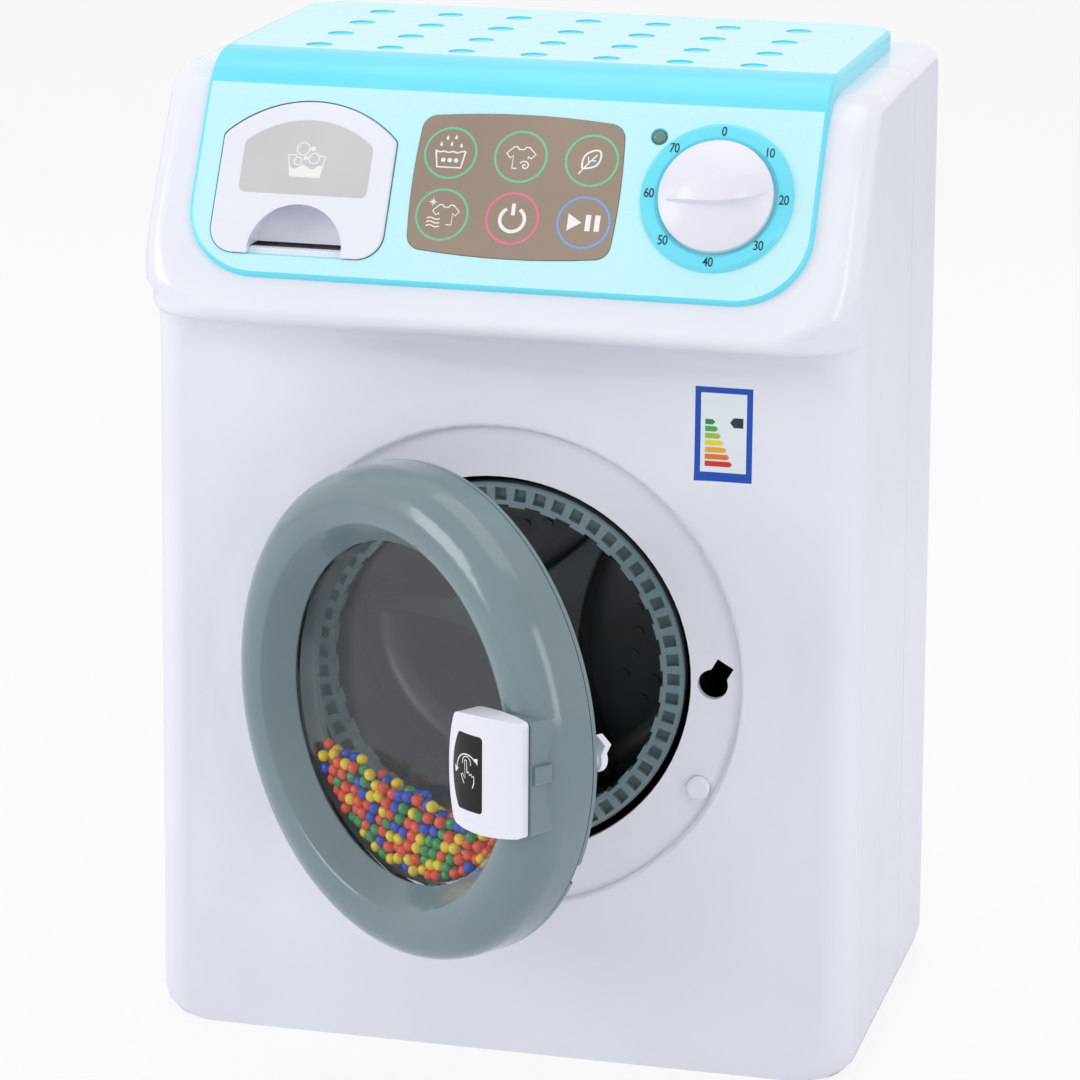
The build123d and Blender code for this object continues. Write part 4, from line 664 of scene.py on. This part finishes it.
# %% Print the drawer's sign
drawer_x, drawer_s = -64.8, 52.0
basin_sides = [(-3.4, 2.2), (-6.2, 2.2), (-4.9, -5.0), (4.9, -5.0), (6.2, 2.2), (4.2, 2.2)]
water = [
    (-5.6, -1.2), (-4.4, -2.4), (-3.2, -2.4), (-1.9, -1.3), (-0.9, -0.9), (0.2, -1.5),
    (1.5, -2.3), (2.8, -2.3), (3.9, -1.3), (5.5, -1.0), (4.8, -4.9), (-4.8, -4.9),
]
bubbles = [stroke(moved(basin_sides, drawer_x, drawer_s), 0.6), patch(moved(water, drawer_x, drawer_s))]
for dx, dy, radius in ((-1.6, 4.4, 2.1), (2.4, 1.3, 1.75), (-2.9, 0.2, 1.3)):
    x, y = drawer_x + dx, drawer_s + dy
    bubbles.append(ring_of(x, y, radius, 0.45, sides=32))
    bubbles.append(ring_of(x, y, radius * 0.62, 0.26, sides=30, start=120, sweep=70))
bubbles += [disc(drawer_x + 1.7, drawer_s + 4.6, 0.85), disc(drawer_x - 0.4, drawer_s + 1.3, 0.8)]
lay_ink("drawer_sign", bubbles, console_plane, "drawer_inlay", inks["white"], lift=0.05)
print("drawings on the drawer:", len(bubbles))

# %% [markdown]
# The dial's scale is plain numbers from 0 to 70, one for every 45 degrees, with the text made
# into a mesh before it is laid on the ring. The numbers are drawn narrow, as on the toy.

# %% Print the dial's numbers
def number(text, x, y, height):
    """A short number, centred on x and y, as a flat mesh."""
    words = bpy.data.curves.new("number", "FONT")
    words.body = text
    words.size = height
    words.align_x = "CENTER"
    words.align_y = "CENTER"
    words.extrude = half_ink
    words.offset = 0.03
    words.resolution_u = 3
    words.space_character = 0.92
    holder = bpy.data.objects.new("number", words)
    mesh = bpy.data.meshes.new_from_object(holder)
    bpy.data.objects.remove(holder)
    bpy.data.curves.remove(words)
    narrow = Matrix.Diagonal((0.78, 1.0, 1.0, 1.0))
    mesh.transform(Matrix.Translation((x, y, 0)) @ narrow)
    return mesh


dial_x, dial_s = 70.1, 47.8
scale_radius = 21.6
digit_height = 4.5
dial_numbers = []
for step in range(8):
    angle = math.radians(90 - 45 * step)
    x = dial_x + scale_radius * math.cos(angle)
    y = dial_s + scale_radius * math.sin(angle)
    dial_numbers.append(number(str(10 * step), x, y, digit_height))
lay_ink("dial_numbers", dial_numbers, console_plane, "dial_ring", inks["dark"], lift=0.07, fine=0.6)
print("numbers on the dial:", len(dial_numbers))

# %% [markdown]
# ## Painted shade in the top's dimples
# The top has four rows of seven shallow round dimples. Their floors are drawn a stronger cyan than
# the plate round them, which is painted shade in the hollows, so a thin disc of that cyan lies in each.

# %% Lay discs of painted shade in the dimples
dimple_pitch = 24.2
front_row = -28.9
dot_radius = 4.2
dimple_shade_discs = []
for column in range(-3, 4):
    for row in range(4):
        y = front_row + dimple_pitch * row
        dimple_shade_discs.append(disc(column * dimple_pitch, y, dot_radius, sides=28))
top_plane = Matrix.Translation((0, 0, top_height))
# The stronger cyan of these discs is painted shade in the dimples.
dimple_shade_finish = finishes["cyan"]
top_dots = lay_ink("top_dots", dimple_shade_discs, top_plane, "console_cover", dimple_shade_finish, lift=0.05, squeeze=0.2)
print("dots:", len(dimple_shade_discs))

# %% [markdown]
# ## The colour label
# A small label with a blue frame is stuck on the front. It shows seven bars from green to red that
# grow longer, and one dark arrow. It stays without words. It is built from flat layers in an
# upright plane, each laid a little higher than the one below, so that none cuts through another.

# %% Stick the label on the front
front_plane = Matrix((Vector((1, 0, 0)), Vector((0, 0, 1)), Vector((0, -1, 0)))).transposed().to_4x4()
front_plane.translation = Vector((0, -69.5 * mm, 0))
label_left, label_right, label_low, label_high = 64.2, 82.9, 202.0, 232.8
border = 1.9
lower_border = 3.0
field_lift = 0.10
print_lift = 0.17
bar_pitch = 2.28
bar_height = 1.7


def block(x0, z0, x1, z1):
    """A rectangle between two corners, cut into small squares so that it can follow a curved face."""
    shape = bmesh.new()
    bmesh.ops.create_grid(shape, x_segments=14, y_segments=28, size=0.5)
    bmesh.ops.scale(shape, verts=shape.verts, vec=(x1 - x0, z1 - z0, 1))
    bmesh.ops.translate(shape, verts=shape.verts, vec=((x0 + x1) / 2, (z0 + z1) / 2, half_ink))
    return to_flat_mesh(shape)


label_blue = moulded("label_blue", "#0B49B4", "#1252BC", 0.30, wave=0.05, wave_size=600.0)
label_pale = moulded("label_pale", "#E9F1F4", "#F2F8FA", 0.30, wave=0.05, wave_size=600.0)
frame_block = block(label_left, label_low, label_right, label_high)
field_block = block(label_left + border, label_low + lower_border, label_right - border, label_high - border)
lay_ink("label_frame", [frame_block], front_plane, "front_shell", label_blue)
lay_ink("label_field", [field_block], front_plane, "front_shell", label_pale, lift=field_lift)

bar_colours = ("#1E8E4A", "#4FAE48", "#A5C83E", "#F1E04A", "#F2B23A", "#EC7A2E", "#D8342C")
for k, colour in enumerate(bar_colours):
    name = "label_bar_%d" % k
    bar_left = label_left + 3.4
    bar_right = bar_left + 2.4 + 0.95 * k
    low = label_high - 12.2 - bar_pitch * k
    high = low + bar_height
    tip = (bar_right + 0.8, low + bar_height / 2)
    bar = [(bar_left, low), (bar_right, low), tip, (bar_right, high), (bar_left, high)]
    bar_ink = moulded(name, colour, colour, 0.35, wave=0.05, wave_size=600.0)
    lay_ink(name, [patch(bar)], front_plane, "front_shell", bar_ink, lift=print_lift)

tag_low = label_high - 12.9
tag_high = tag_low + 3.2
tag_right = label_right - 3.0
shoulder = label_right - 6.0
tag_tip = (label_right - 7.3, tag_low + 1.6)
tag = [(tag_right, tag_low), (tag_right, tag_high), (shoulder, tag_high), tag_tip, (shoulder, tag_low)]
lay_ink("label_arrow", [patch(tag)], front_plane, "front_shell", inks["dark"], lift=print_lift)
print("label bars:", len(bar_colours))

# %% [markdown]
# ## The handle's sign
# The door handle turns, and its dark inlay says so with a pointing hand between two bent arrows.
# The door stands open in the photograph, so this sign is drawn in the door's own plane and lies
# on the inlay's curved face.

# %% Print the handle's sign
door_centre = Vector((-15.006, -124.394, 134.2)) * mm
door_across = Vector((0.819152, -0.573576, 0))
door_normal = Vector((-0.573576, -0.819152, 0))
door_plane = Matrix((door_across, Vector((0, 0, 1)), door_normal)).transposed().to_4x4()
door_plane.translation = door_centre
thumb_and_finger = [
    (56.1, -3.9), (54.6, -1.4), (55.4, -0.9), (56.6, -2.2), (56.3, 3.6), (57.3, 3.7), (57.5, -0.3),
]
knuckles = [
    (57.5, -0.3), (58.3, 0.3), (58.6, -0.8), (59.4, -0.2), (59.7, -1.1), (60.5, -0.7),
    (60.5, -3.0), (59.9, -4.6),
]
right_arrow_head = [(60.5, 4.9), (61.9, 3.0), (62.0, 5.2)]
left_arrow_head = [(51.6, -1.4), (53.2, 0.2), (51.2, 0.9)]
hand = [
    stroke(thumb_and_finger, 0.38),
    stroke(knuckles, 0.38),
    ring_of(57.2, 3.0, 1.9, 0.32, sides=30, start=-20, sweep=220),
    ring_of(57.4, 0.6, 5.0, 0.42, sides=60, start=42, sweep=150),
    patch(right_arrow_head),
    patch(left_arrow_head),
]
lay_ink("handle_sign", hand, door_plane, "handle_inlay", inks["white"])
print("drawings on the handle:", len(hand))

# %% [markdown]
# ## Loose beads
# Between the two windows lie a few hundred loose beads. They are poured: the script starts from
# two layers of close-packed rows under a slightly sloping level, shakes them with a fixed seed and
# lets them sink a little while it pushes overlapping beads apart. Each bead is a small ball of 80
# faces, shaded smooth, because a finer ball repeated hundreds of times would cost far more than it
# shows.

# %% Pour the beads
bead_radius = 2.05
tray_radius = 54.9 - bead_radius
bead_spacing = 4.25
row_height = 3.68
layer_depths = (-6.9, -2.6)
deepest, shallowest = -7.1, -2.4
fill_level, fill_slope = -25.5, -0.12
shake = 1.7
rounds = 160
push, sink = 0.35, 0.02

shaker = np.random.default_rng(7)
start_points = []
for layer, depth in enumerate(layer_depths):
    for row in range(-16, 1):
        for column in range(-15, 16):
            u = column * bead_spacing + (row % 2) * 2.12 + layer * 1.1
            z = row * row_height - layer * 1.2
            if math.hypot(u, z) < tray_radius and z < fill_level + fill_slope * u:
                start_points.append((u, z, depth))
beads = np.array(start_points) + shaker.uniform(-shake, shake, (len(start_points), 3))
not_itself = np.eye(len(beads)) * 99
for _ in range(rounds):
    gaps = beads[:, None, :] - beads[None, :, :]
    distance = np.sqrt((gaps ** 2).sum(axis=2)) + not_itself
    overlap = np.clip(2 * bead_radius - distance, 0, None) / distance
    beads += (gaps * overlap[:, :, None]).sum(axis=1) * push
    beads[:, 1] -= sink
    reach = np.hypot(beads[:, 0], beads[:, 1])
    beads[:, :2] *= np.minimum(1, tray_radius / reach)[:, None]
    beads[:, 2] = np.clip(beads[:, 2], deepest, shallowest)
print("beads:", len(beads))

# %% Make the beads in four colours
colour_shares = {"orange": 0.31, "yellow": 0.27, "green": 0.21, "blue": 0.21}
bead_colours = shaker.choice(4, size=len(beads), p=tuple(colour_shares.values()))
for index, colour in enumerate(colour_shares):
    name = "beads_" + colour
    pile = bmesh.new()
    for u, z, depth in beads[bead_colours == index]:
        spot = door_plane @ (Vector((u, z, depth)) * mm)
        at_spot = Matrix.Translation(spot)
        bmesh.ops.create_icosphere(pile, subdivisions=2, radius=bead_radius * mm, matrix=at_spot)
    bead_mesh = bpy.data.meshes.new(name + "_poured")
    pile.to_mesh(bead_mesh)
    pile.free()
    bead_mesh.materials.append(finishes["bead_" + colour])
    bead_mesh.shade_smooth()
    bead_piece = bpy.data.objects.new(name + "_poured", bead_mesh)
    scene.collection.objects.link(bead_piece)
    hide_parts(name)
    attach(bead_piece, "door")
print("bead colours:", len(colour_shares))
